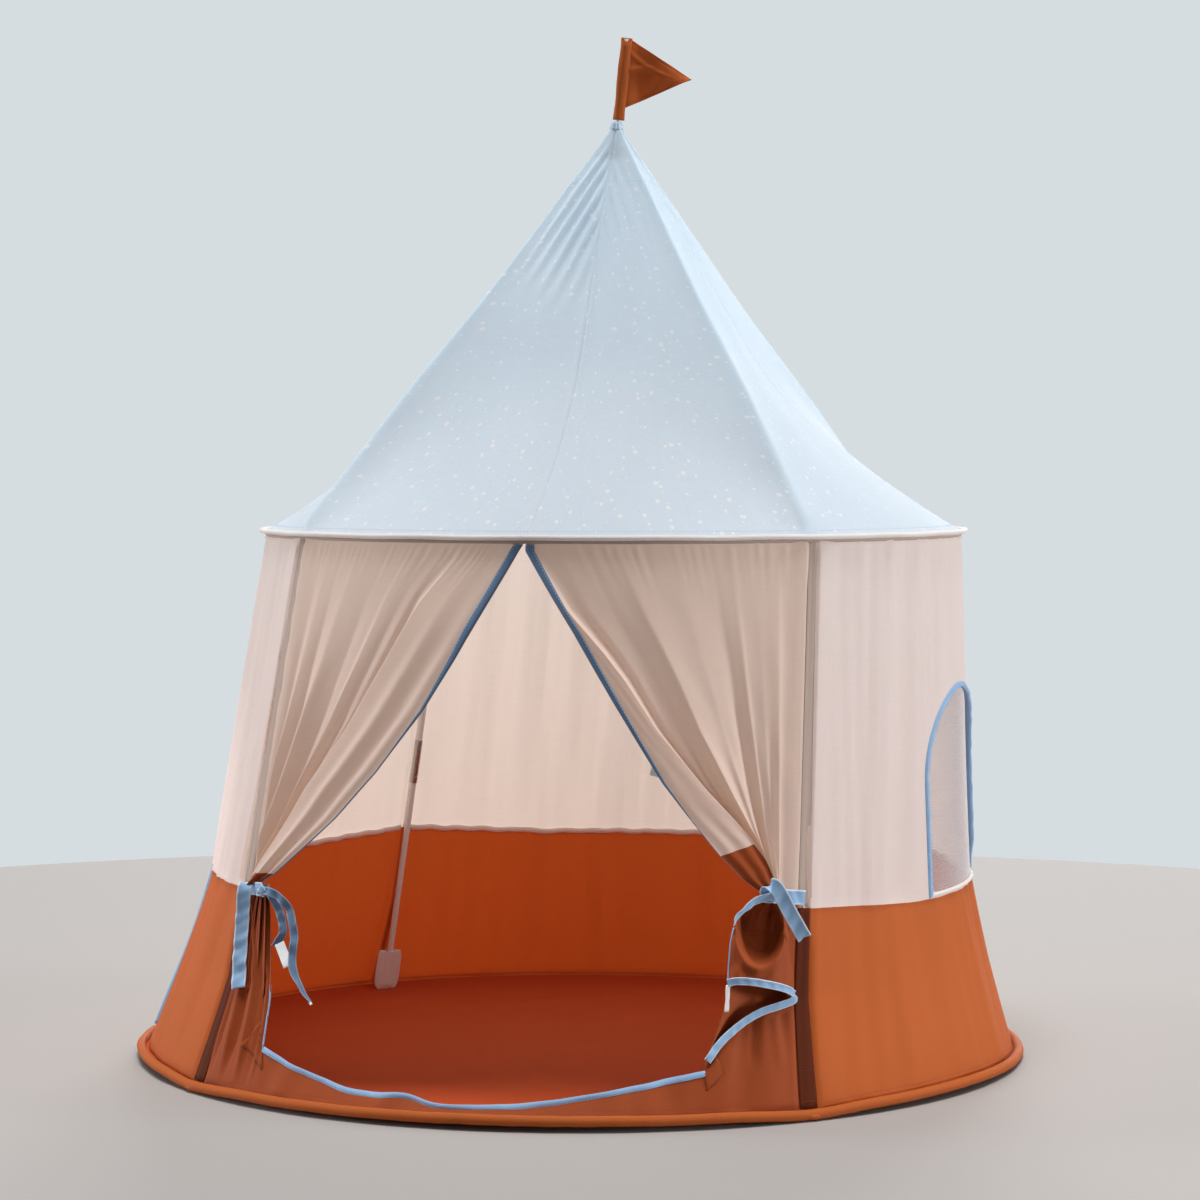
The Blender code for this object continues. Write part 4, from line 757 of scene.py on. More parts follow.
def panel_surface(corner, low, high, rows):
    """Azimuths and heights of a panel between two poles, and how near each is to the colours' seam."""
    across = dense(0.78, NEAR_POLE)
    mid = lerp(corner_azimuth(corner, 0.35), corner_azimuth(corner + 1, 0.35), across)
    height = lerp(high(mid), low(mid), np.linspace(0, 1, rows)[:, None])
    azimuth = lerp(corner_azimuth(corner, height), corner_azimuth(corner + 1, height), across)
    return azimuth, height, bump((height - seam_height(azimuth)) / 0.004)


def make_walls():
    for label, corner in (("right", 0), ("back", 1), ("left", 2)):
        cut = label == "right"
        azimuth, height, near = panel_surface(corner, seam_height, lambda a: WALL_TOP + 0 * a, 62)
        points = skin(azimuth, height, 0.001 * near)
        uv = flat_uv(azimuth * 0.49, height)
        nodes = ["wall_" + label]
        wall = sheet("wall_panel_" + label, points, "pale", uv=uv, nodes=nodes, thickness=CLOTH if cut else 0)
        azimuth, height, near = panel_surface(corner, foot_height, seam_height, 40)
        points = skin(azimuth, height, -0.0004 * near)
        uv = flat_uv(azimuth * 0.56, height * 1.05)
        skirt = sheet("skirt_panel_" + label, points, "rust", uv=uv, nodes=["skirt_" + label], thickness=0)
        if cut:
            cut_window(wall)
        # Inside, the seam's folded edge shows as a pale line.
        a, t = np.meshgrid(np.linspace(azimuth[0, 3], azimuth[0, -4], 140), np.linspace(0, 1, 5))
        z = seam_height(a) + 0.0035 - 0.008 * t + 0.0009 * waves(a * 0.5, 0, 80 + corner, 6, 8, 30)
        points = skin(a, z, -0.0018 - 0.001 * np.sin(t * math.pi))
        sheet("seam_fold_" + label, points, "pale", uv=flat_uv(a * 0.5, z), thickness=THIN)


def make_strips():
    """The strip of cloth in the groove down each pole line, with a boxed seam at its foot; at the front poles
    its cloth is darkened as painted shade of the groove.
    """
    for corner, label in enumerate(CORNERS):
        seam = float(seam_height(corner_azimuth(corner, SEAM_HEIGHT)))
        # Each part's ends, rows, half widths at height 0 and at its full height, and lift.
        for part, ends, rows, halves, full, rise in (
            ("pale", (EAVES_HEIGHT - 0.006, seam + 0.0005), 70, (0.0098, 0.0062), EAVES_HEIGHT, 0.0006),
            ("rust", (seam, 2 * FLOOR_TUBE + 0.001), 40, (0.0124, 0.0084), SEAM_HEIGHT, 0.0024),
        ):
            u, height = np.meshgrid(np.linspace(-1, 1, 13), np.linspace(*ends, rows))
            half = lerp(*halves, height / full)
            # The front strips take cloth darkened as painted shade of the groove; the back ones are narrower
            # and keep the plain cloth.
            look = "shade_" + part
            if label.startswith("back"):
                half, look = half * 0.4, part
            middle = corner_azimuth(corner, height)
            radius = wall_radius(middle, height)
            wave = waves(u * 0.01 + corner, height, 90 + corner, 5, 30, 80, 0.05)
            lift = rise - 0.0004 * u**2 + 0.0005 * wave
            points = place(radius + lift, middle + u * half / radius, height)
            uv = flat_uv(u * half, height)
            sheet("pole_strip_%s_%s" % (part, label), points, look, uv=uv, thickness=THIN)
        rim = np.array([(-1, -1), (1, -1), (1, 1), (-1, 1), (-1, -1), (1, -0.99)]) * (0.0088, 0.018)
        t = np.linspace(0, 1, 12)[:, None]
        x, y = (np.vstack([lerp(a, b, t) for a, b in zip(rim, rim[1:])]) + (0, 0.04)).T
        middle = corner_azimuth(corner, y)
        radius = wall_radius(middle, y)
        route = place(radius + 0.0034, middle + x / radius, y)
        stitches("foot_box_" + label, route, radial(middle), "thread_rust", pitch=0.0036)


# Window


def arch(inset, steps=40):
    """The arch's outline from its right foot over the top to its left foot, as (y, z)."""
    half = WINDOW_WIDTH / 2 - inset
    turn = np.linspace(0, math.pi, steps)
    top = np.stack([half * np.cos(turn), WINDOW_SPRING + (WINDOW_ARCH - inset) * np.sin(turn)], -1)
    leg = np.linspace(WINDOW_FOOT + inset, WINDOW_SPRING, 15)[:-1]
    right, left = (np.stack([np.full(14, y), z], -1) for y, z in ((half, leg), (-half, leg[::-1])))
    return np.vstack([right, top, left]) + np.array([WINDOW_MIDDLE, 0])


def right_wall(y, z, proud=0.0):
    y, z = np.broadcast_arrays(y, z)
    azimuth = np.full(y.shape, math.pi / 2)
    for _ in range(8):
        azimuth = np.arccos(np.clip(-y / (wall_radius(azimuth, z) + proud), -1, 1))
    return place(wall_radius(azimuth, z) + proud, azimuth, z)


def cut_window(wall):
    outline = arch(-0.001)
    count = len(outline)
    points = [(x, y, z) for x in (0.35, 0.7) for y, z in outline]
    faces = [tuple(range(count)), tuple(range(2 * count - 1, count - 1, -1))]
    faces += [(i, count + i, count + (i + 1) % count, (i + 1) % count) for i in range(count)]
    mesh = bpy.data.meshes.new("window_cutter")
    mesh.from_pydata(points, [], faces)
    solid = bmesh.new()
    solid.from_mesh(mesh)
    bmesh.ops.recalc_face_normals(solid, faces=solid.faces)
    solid.to_mesh(mesh)
    solid.free()
    cutter = link("window_cutter", mesh)
    cut = wall.modifiers.new("window", "BOOLEAN")
    cut.operation, cut.object, cut.solver = "DIFFERENCE", cutter, "EXACT"
    bpy.context.view_layer.update()
    shaped = bpy.data.meshes.new_from_object(wall.evaluated_get(bpy.context.evaluated_depsgraph_get()))
    wall.modifiers.clear()
    # Only the outer layer stays, because cloth is one sheet.
    layer = bmesh.new()
    layer.from_mesh(shaped)
    spare = [
        f for f in layer.faces
        if f.normal.to_2d().dot(Vector(f.calc_center_median()[:2]).normalized()) < 0.3
    ]
    bmesh.ops.delete(layer, geom=spare, context="FACES")
    layer.to_mesh(shaped)
    layer.free()
    wall.data = shaped
    bpy.data.objects.remove(cutter)


# The binding's section: share of the way in, and how far proud.
BINDING = (
    (-0.02, -0.001), (0.0, 0.0012), (0.2, 0.0026), (0.5, 0.0032),
    (0.8, 0.0026), (1.0, 0.0012), (1.02, -0.0012), (0.5, -0.0022),
)
FOOT_STEPS, NET_PITCH = 28, 0.0034


def make_window():
    # The binding: a folded tape with a soft crown, round the arch and along its foot.
    lines = []
    for inset, rise in ((-TAPE_WIDTH / 2, 0.0015), (TAPE_WIDTH / 2, -0.002)):
        line = arch(inset)
        y = np.linspace(line[-1, 0], line[0, 0], FOOT_STEPS + 2)[1:-1]
        lines.append(np.vstack([line, np.stack([y, np.full(FOOT_STEPS, line[0, 1] + rise)], -1)]))
    outer, inner = lines
    count, sides = len(outer), len(BINDING)
    along = np.arange(count)
    pucker = 0.0004 * np.sin(along * 1.9) + 0.0003 * np.sin(along * 3.1)
    rings = []
    for share, proud in BINDING:
        y, z = lerp(outer, inner, share).T
        swell = 0.0055 * smooth((y - WINDOW_MIDDLE) / 0.12) * smooth((z - WINDOW_FOOT) / 0.05)
        rings.append(right_wall(y, z))
        rings[-1][:, 0] += proud + (pucker + swell if proud > 0 else 0)
    uv = flat_uv(np.linspace(0, 0.02, sides), along[:, None] * 0.012)
    faces = swept_faces(count, sides, closed=True)
    cut = (count - FOOT_STEPS) * sides
    foot = [f for f in faces if min(f) >= cut - sides or (min(f) < sides and max(f) >= cut)]
    rest = [f for f in faces if f not in foot]
    for name, part, look in (("window_binding_tape", rest, "tape"), ("window_foot_hem", foot, "piping")):
        made = piece(name, np.stack(rings, 1), part, look, uv=uv, nodes=["window_binding"])
        shape = bmesh.new()
        shape.from_mesh(made.data)
        bmesh.ops.delete(shape, geom=[v for v in shape.verts if not v.link_faces], context="VERTS")
        shape.to_mesh(made.data)
        shape.free()
    for share, name in ((0.16, "outer"), (0.86, "inner")):
        y, z = lerp(outer, inner, share)[:-FOOT_STEPS].T
        route = right_wall(y, z) + np.array([0.003, 0, 0])
        stitches("window_stitches_" + name, route, (1, 0, 0), "thread_blue", pitch=0.0036)
    # The netting: a fine diagonal mesh of threads.
    inset = TAPE_WIDTH / 2 - 0.001
    half = WINDOW_WIDTH / 2 - inset
    heights = np.arange(WINDOW_FOOT + inset, WINDOW_FOOT + WINDOW_HEIGHT, NET_PITCH)
    y, z = np.meshgrid(np.arange(-half, half + NET_PITCH, NET_PITCH), heights)
    y = y + np.where(np.arange(len(heights)) % 2, NET_PITCH / 2, 0)[:, None]
    sag = 0.0024 * np.cos(y / half * math.pi / 2) * np.sin((z - WINDOW_FOOT) / WINDOW_HEIGHT * math.pi)
    points = right_wall(y + WINDOW_MIDDLE, z, -0.001)
    points[..., 0] -= sag
    top = WINDOW_SPRING + (WINDOW_ARCH - inset) * np.sqrt(np.clip(1 - (y / half) ** 2, 0, 1))
    allowed = (np.abs(y) < half) & (z < top)
    index = -np.ones(y.shape, int)
    index[allowed] = np.arange(allowed.sum())
    faces = []
    for i in range(len(heights) - 1):
        for j in range(y.shape[1] - 1):
            a, b, c, d = (int(v) for v in (*index[i, j:j + 2], *index[i + 1, j:j + 2][::-1]))
            faces += [t for t in (((a, b, c), (a, c, d)) if i % 2 else ((a, b, d), (b, c, d))) if min(t) >= 0]
    uv = flat_uv(y, z)[allowed]
    net = piece("window_netting", points[allowed], faces, "net", nodes=["window_net"], uv=uv)
    wires = net.modifiers.new("threads", "WIREFRAME")
    wires.thickness, wires.use_even_offset, wires.use_boundary = 0.00058, False, True


def make_side_strip():
    """A bound flap edge down the left wall."""
    z = np.linspace(EAVES_HEIGHT - 0.012, 0.022, 120)
    a = math.radians(279.4) + 0.003 * np.sin(z * 19)
    low = 1 - smooth((z - 0.235) / 0.06)
    route = place(wall_radius(a, z) + lerp(0.0006, 0.003 + 0.0008 * np.sin(z * 31), low), a, z)
    radius = lerp(0.002, 0.0056, low)
    tube("side_strip_tape", route, radius, "tape", sides=14, squash=0.42, up=(1, 0, 0), nodes=["side_strip"])


# Door

FLAP = 0.72
# edge, crease: the free edge and the flap's crease, as degrees from the door's middle and heights
# gather: degrees at the tie, by the share of the way from the pole to the crease
# creases: place, width towards the pole, width towards the edge, height
# flap: how far it stands out, and by how much less at its edge
# border, shown: where the pale cloth ends, and how much of the edge's tape shows
CURTAINS = {
    "right": dict(
        side=1, tie=0.272, foot=JAMB_TOP,
        edge=(
            (0.1, 0.7045), (0.15, 0.689), (8.5, 0.588), (14.5, 0.508), (22.2, 0.407), (27.6, 0.349),
            (30.5, 0.318), (33.6, 0.29), (36.4, 0.272),
        ),
        crease=(
            (1.0, 0.7045), (1.6, 0.689), (7.2, 0.618), (9.9, 0.594), (13.0, 0.566), (16.3, 0.532),
            (21.3, 0.471), (24.8, 0.437), (28.3, 0.402), (31.8, 0.371), (35.7, 0.334), (37.7, 0.302),
            (38.3, 0.272),
        ),
        gather=([0, 0.055, 0.125, 0.45, 1], [44.3, 41.3, 38.9, 38.6, 38.3]),
        creases=(
            (0.034, 0.014, 0.017, 0.0035), (0.092, 0.009, 0.045, 0.01), (0.16, 0.022, 0.03, 0.0025),
            (0.226, 0.01, 0.012, 0.004), (0.28, 0.03, 0.035, -0.0085), (0.38, 0.045, 0.04, 0.004),
            (0.51, 0.075, 0.024, 0.016), (0.6, 0.03, 0.045, -0.007),
        ),
        flap=(0.013, 0.005),
        border=([0, 0.5, 0.62, 0.715, 0.74, 1], [1, 1, 1, 0.99, 0.855, 0.893]),
        shown=([0, 0.3, 0.62, 0.8, 1], [1.2, 1.1, 0.55, 0.12, 0.05]),
    ),
    "left": dict(
        side=-1, tie=0.262, foot=JAMB_TOP,
        edge=(
            (0.1, 0.7045), (1.0, 0.689), (9.0, 0.554), (13.1, 0.491), (19.7, 0.413), (25.9, 0.353),
            (35.0, 0.28), (38.6, 0.262),
        ),
        crease=(
            (9.5, 0.7045), (10.7, 0.682), (16.0, 0.627), (21.1, 0.545), (26.2, 0.467), (32.8, 0.388),
            (39.4, 0.285), (40.6, 0.262),
        ),
        gather=([0, 0.06, 0.12, 0.5, 1], [46.9, 44.8, 43.0, 41.6, 40.6]),
        creases=(
            (0.058, 0.018, 0.024, 0.0055), (0.12, 0.022, 0.022, -0.0045), (0.172, 0.028, 0.034, 0.0095),
            (0.235, 0.018, 0.026, -0.006), (0.32, 0.045, 0.06, 0.013), (0.44, 0.04, 0.04, -0.0065),
            (0.545, 0.016, 0.05, 0.009), (0.62, 0.025, 0.03, -0.006),
        ),
        flap=(0.011, 0.002),
        border=([0, 0.6, 0.715, 0.76, 1], [1, 1, 0.995, 0.965, 0.962]),
        shown=([0, 0.25, 0.42, 0.6, 1], [1.25, 1.2, 0.6, 0.2, 0.25]),
    ),
}


def curtain_point(spec, s, t, proud=0.0):
    """s runs from the pole to the free edge and t from the eaves to the tie."""

    def followed(route):
        degrees, heights = np.array(route).T
        along = (WALL_TOP - np.minimum(heights, WALL_TOP)) / (WALL_TOP - spec["tie"])
        return np.interp(t, along, degrees)

    side, edge, crease = spec["side"], followed(spec["edge"]), followed(spec["crease"])
    u = np.clip(s / FLAP, 0, 1)
    v = np.clip((s - FLAP) / (1 - FLAP), 0, 1)
    first, last = spec["crease"][0][0], spec["gather"][1][-1]
    body = lerp(lerp(44.75, first, u), np.interp(u, *spec["gather"]), t)
    body += (crease - lerp(first, last, t)) * u**3
    azimuth = side * np.radians(np.where(s < FLAP, body, lerp(crease, edge, v)))
    height = lerp(WALL_TOP, lerp(spec["foot"], spec["tie"], s), t)
    grown = smooth(t * 1.3) ** 0.8
    depth = 0.0
    for where, to_pole, to_edge, high in spec["creases"]:
        wide = np.where(s < where, to_pole, to_edge)
        depth += high * grown * np.exp(-np.abs((s - where) / wide) ** 1.5) * (s < FLAP + 0.1)
    folded, rounded = spec["flap"]
    over = smooth((s - FLAP + 0.01) / 0.02)
    flap = folded - rounded * v + 0.0022 * np.sin(v * math.pi) * t
    depth = depth * (1 - over) + over * smooth(t * 3.5) * flap
    depth -= 0.006 * bump((s - FLAP + 0.028) / 0.016) * smooth(t * 3)
    if side < 0:
        folds = 0.005 * bump((v - 0.42) / 0.1) - 0.0035 * bump((v - 0.66) / 0.12)
        depth += over * grown * (folds + 0.0035 * bump((v - 0.82) / 0.08))
    # Where it nears the tie the cloth bunches up and stands proud.
    bunch = smooth((t - 0.76) / 0.24) * smooth((s - 0.07) / 0.08)
    depth += 0.008 * bunch + 0.001 * bunch * np.sin(s * TURN * 9)
    ripple = 0.0007 * grown * waves(s * 0.37, t * 0.44, 7 + side, 6, 10, 28, 0.4) * (1 - 0.6 * over)
    top = 0.0004 * waves(s * 0.74, t, 17, 5, 25, 60, 0.03) * bump(t / 0.1) * smooth(t / 0.02)
    radius = wall_radius(azimuth, height)
    distance = off_corner(azimuth, height) * radius
    relief = smooth((EAVES_HEIGHT - height) / 0.02) * pole_relief(distance) * (1 - bunch)
    depth = (depth + ripple + top) * smooth((distance - 0.012) / 0.02) + relief
    return place(radius + depth + proud, azimuth, height)


NEAR_CURTAIN = [0, 0.005, 0.0065, 0.0075, 0.0085, 0.01, 0.012, 0.015, 0.019, 0.024]
# The edge tape's section: distance in from the edge, and how far proud.
EDGE_TAPE = (
    (-0.0008, 0.0), (-0.0003, 0.0016), (0.003, 0.002), (0.007, 0.0018),
    (0.0088, 0.0011), (0.0088, -0.0012), (0.005, -0.002), (0.0, -0.0018),
)


def make_curtain(label):
    spec = CURTAINS[label]

    def bend(obj):
        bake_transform(obj)
        return obj

    def cloth(part, s, t, proud, look, nodes=()):
        s = s + 0 * t
        points = curtain_point(spec, s, t, proud)
        uv = flat_uv(s * 0.37, t * 0.44)
        return bend(sheet("curtain_%s_%s" % (part, label), points, look, None, uv, nodes, thickness=0))

    s = np.sort(np.concatenate([dense(0.39, NEAR_CURTAIN, 0.0024), FLAP + 0.003 * np.arange(-3, 4)]))
    border = np.interp(s, *spec["border"])
    border = np.convolve(np.pad(border, 1, "edge"), np.ones(3) / 3, "valid")
    pale = cloth("pale", s, np.linspace(0, 1, 92)[:, None] * border, 0.0, "door_pale_painted_shade", ["curtain_" + label])
    first = max(0, int(np.argmax(border < 0.9995)) - 1)
    t = lerp(border[first:], 1, np.linspace(0, 1, 26)[:, None])
    cloth("rust", s[first:], t, -0.0003, "door_rust_painted_shade")
    # The binding on the free edge wraps both faces; its tape is darkened as painted shade.
    t = np.linspace(0.012, 0.995, 150)
    edge = curtain_point(spec, 1 + 0 * t, t)
    inward = unit(curtain_point(spec, 0.93 + 0 * t, t) - edge)
    out = radial(spec["side"] * np.radians(38 * t))
    shown = np.interp(t, *spec["shown"])[:, None]
    rings = [edge + inward * (x * shown) + out * (y * lerp(0.35, 1, shown)) for x, y in EDGE_TAPE]
    nodes = ["curtain_%s_binding" % label]
    bend(folded_tape("curtain_edge_" + label, rings, "tape_painted_shade", None, nodes, flip=spec["side"] > 0))
    row = edge + inward * (0.0072 * shown) + out * (0.0019 * lerp(0.35, 1, shown))
    bend(stitches("curtain_edge_stitches_" + label, row[:90], out[:90], "thread_blue", body=None))


def make_curtains():
    for label in CURTAINS:
        make_curtain(label)


RIGHT_SLIT, LEFT_SLIT = 28.8, -31.4
SLIT_AT = [-31.4, -28, -22, -16, -12.5, -9.5, -7.5, -4.5, -1, 5, 11, 16, 22, 28.8]
SLIT = [
    0.066, 0.0545, 0.0405, 0.029, 0.0275, 0.0315, 0.0285,
    0.0215, 0.0205, 0.023, 0.03, 0.0375, 0.0475, 0.061,
]
# The sill tape's section: distance down from the edge, and how far proud.
SILL_TAPE = (
    (-0.005, 0.0), (-0.0046, 0.001), (-0.0018, 0.0013), (0.0014, 0.0012),
    (0.002, 0.0006), (0.002, -0.001), (-0.001, -0.0014), (-0.0044, -0.0012),
)


def make_sill():
    """The sill's top edge sags in waves between the ends of the slit, and is bound."""
    degrees = np.linspace(LEFT_SLIT, RIGHT_SLIT, 170)
    azimuth = np.radians(degrees)
    top = sum(np.interp(degrees + d, SLIT_AT, SLIT) for d in (-1.2, -0.6, 0, 0.6, 1.2)) / 5
    v = np.linspace(0, 1, 12)[:, None]
    z = lerp(top, foot_height(azimuth), v)
    a = azimuth + 0 * z
    # The sill leans in a little where it hangs between the ends.
    loose = (1 - v) * smooth(np.minimum(RIGHT_SLIT - degrees, degrees - LEFT_SLIT) / 6)
    points = skin(a, z, (-0.01 + 0.0016 * waves(a * 0.6, z, 40, 6, 6, 20, 0.8)) * loose)
    front = sheet("sill_cloth", points, "door_rust_painted_shade", uv=flat_uv(a * 0.59, z), thickness=0)
    edge, out = points[0], radial(azimuth)
    tilt = (0.225 + 0.225 * np.sin(degrees * 0.33))[:, None]
    rings = [edge - UPWARD * x + out * (y + tilt * x) for x, y in SILL_TAPE]
    folded_tape("sill_tape", rings, "tape", nodes=["sill_binding"])
    stitches("sill_stitches", edge - UPWARD * 0.0012 + out * 0.0016, out, "thread_blue")


# The edges of the cloth beside the opening: degrees from the door's middle and heights, from below.
RIGHT_DIAGONAL = (
    (28.8, 0.0), (28.8, 0.074), (29.9, 0.092), (31.7, 0.108), (33.3, 0.118), (35.3, 0.1255),
    (37.3, 0.1285), (39.4, 0.133), (40.3, 0.141), (40.3, 0.155), (39.6, 0.262),
)
LEFT_OPENING = ((-31.4, 0.0), (-31.5, 0.067), (-32.2, 0.099), (-33.5, 0.141), (-36.9, 0.205), (-39.9, 0.25))
# The right hem's own fold and the slanting run back from it, at places in the camera's frame.
HEM = (
    (727.5, 983, 15), (735, 981.6, 20.5), (744, 981.4, 24.5), (755, 982.4, 27.5), (766, 984.2, 27.5),
    (781, 987.4, 23.5), (790, 990.6, 16.5), (794.6, 994.2, 9),
)
HEM_RETURN = (
    (795.6, 996, 7.5), (794.2, 999.4, 8.5), (788.5, 1002.6, 8.5), (776.7, 1006.6, 7.5),
    (765.9, 1010, 6.5), (753.7, 1015.7, 5.5), (741.5, 1023.8, 5), (729.3, 1034, 4.5),
    (719.8, 1043.6, 4), (711.5, 1055, 3.5), (707.4, 1061.5, 3),
)
NEAR_JAMB = [0, 0.002, 0.005, 0.0085, 0.0095, 0.0105, 0.012, 0.0135, 0.016]


def opening_at(edge, z):
    degrees, heights = np.array(edge).T
    return np.interp(z, heights, degrees)


def left_pleats(degrees, z):
    """How far the left jamb's pleats stand out."""
    pole = door_pole(-1, z)
    share = np.clip((degrees - pole) / (opening_at(LEFT_OPENING, z) - pole), 0, 1)
    broad, fine = 0.0042 * np.sin(share * TURN * 3.1 + 0.5), 0.0018 * np.sin(share * TURN * 7.3 + 1.0)
    ends = smooth((z - 0.012) / 0.07) * smooth(share * 5) * smooth((1 - share) / 0.06)
    return (0.003 + broad + fine) * ends


def jamb_folds(degrees, z):
    """The right jamb's ripples, and the folds that run down from its slanting hem."""
    ends = smooth((44.5 - degrees) / 4) * smooth((degrees - RIGHT_SLIT) / 3)
    ripple = 0.0022 * bump((z - 0.12) / 0.1) * np.sin((degrees - 30) * 1.15) * ends
    for height, at, from_z, slant, wide, start, fade in (
        (0.0026, 38.4, 0.12, 9, 0.7, 0.045, 0.04),
        (-0.0032, 35.6, 0.11, -12, 0.6, 0.055, 0.03),
        (0.0022, 33.2, 0.11, -25, 0.8, 0.05, 0.03),
    ):
        line = (degrees - at - (from_z - z) * slant) / wide
        ripple += height * smooth((z - start) / fade) * bump(line)
    return ripple


def make_jamb(side, edge, folds, nodes=()):
    """The rust cloth between the opening and its pole."""
    z = lerp(JAMB_TOP, 0.0, np.linspace(0, 1, 90)[:, None])
    ends = (opening_at(edge, z), door_pole(side, z))[::side]
    degrees = lerp(*ends, dense(0.155, NEAR_JAMB, 0.0045))
    azimuth = np.radians(degrees)
    z = np.maximum(z, foot_height(azimuth))
    points = skin(azimuth, z, folds(degrees, z))
    name = "jamb_right" if side > 0 else "jamb_left"
    jamb = sheet(name, points, "door_rust_painted_shade", uv=flat_uv(azimuth * 0.56, z), nodes=nodes, thickness=0)


def make_jambs():
    # Right: from the slanting hem to the pole, and up behind the gathered tail.
    make_jamb(1, RIGHT_DIAGONAL, jamb_folds, ["skirt_front"])
    # Its slanting hem is bound in blue.
    path = seen_route(HEM_RETURN, 80)
    across = UPWARD - 0.45 * (path[:, 2:] < 0.11) * RIGHTWARD
    ribbon("jamb_hem_tape", path, across, 0.0092, "tape", "tent", 0.0016, cup=0.0006, wobble=0.0004)
    # The cloth behind it, seen between the two hems.
    x, y, s, _ = spots_between(
        [(728.5, 972), (727, 990), (724, 1008), (719, 1025), (713, 1042), (706.5, 1060)],
        [(801, 972), (800, 992), (784, 1012), (757, 1026), (736, 1042), (716, 1064)], 50, 40,
    )
    folds = 0.003 * np.sin(x * 0.16 + y * 0.05) * smooth(s * 5)
    points = seen_grid(x, y, lerp(0.005, -0.011, smooth(s * 2.5)) + folds)
    sheet("jamb_right_inside", points, "door_rust_painted_shade", uv=cloth_uv(points))
    # Left: pleats that open downwards from the tie.
    make_jamb(-1, LEFT_OPENING, left_pleats)
    # The left opening's edge is bound too, and shows as a thin line.
    path = seen_route([(270.5, 985, 1), (269.5, 1003, 1), (266.5, 1022, 1), (263, 1046, 1)], 40)
    tube("jamb_left_edge", path, 0.0012, "tape", sides=8)


PATCHES = {
    "right": ((715.7, 1056, 0.001), (727, 1072.6, 0.001), (706.8, 1091, 0.001), (703.5, 1074, 0.001)),
    "left": ((259, 1021, 0.001), (244.7, 1045, 0.001), (260.9, 1070, 0.001), (261.8, 1046, 0.001)),
}


def make_patches():
    """Stitched reinforcement patches at the ends of the slit."""
    u, v = shares(12, 12)
    t = np.linspace(0, 1, 10, endpoint=False)[:, None]
    for label, corners in PATCHES.items():

        def patch(degrees, z, proud):
            under = left_pleats(degrees, z) if label == "left" else 0.0
            return skin(np.radians(degrees), z, under + proud)

        found = seen(corners)
        degrees = np.degrees(np.arctan2(found[:, 0] - lean_at(found[:, 2]), -found[:, 1]))
        a, b, c, d = ends = np.stack([degrees, found[:, 2]], -1)
        flat = lerp(lerp(a, b, u[..., None]), lerp(d, c, u[..., None]), v[..., None])
        edge = np.minimum(np.minimum(u, 1 - u), np.minimum(v, 1 - v))
        points = patch(flat[..., 0], flat[..., 1], 0.0007 + 0.0009 * smooth(edge * 6))
        sheet("slit_patch_" + label, points, "door_rust_painted_shade", uv=flat * (0.01, 1), thickness=0.0006)
        inset = lerp(ends, ends.mean(0), 0.16)
        line = np.vstack([lerp(p, q, t) for p, q in zip(inset, np.roll(inset, -1, 0))] + [inset[:1]])
        route = patch(line[:, 0], line[:, 1], 0.0018)
        out = radial(np.radians(line[:, 0]))
        stitches("slit_patch_stitches_" + label, route, out, "thread_rust", pitch=0.0034)


# Gathered tails and ties


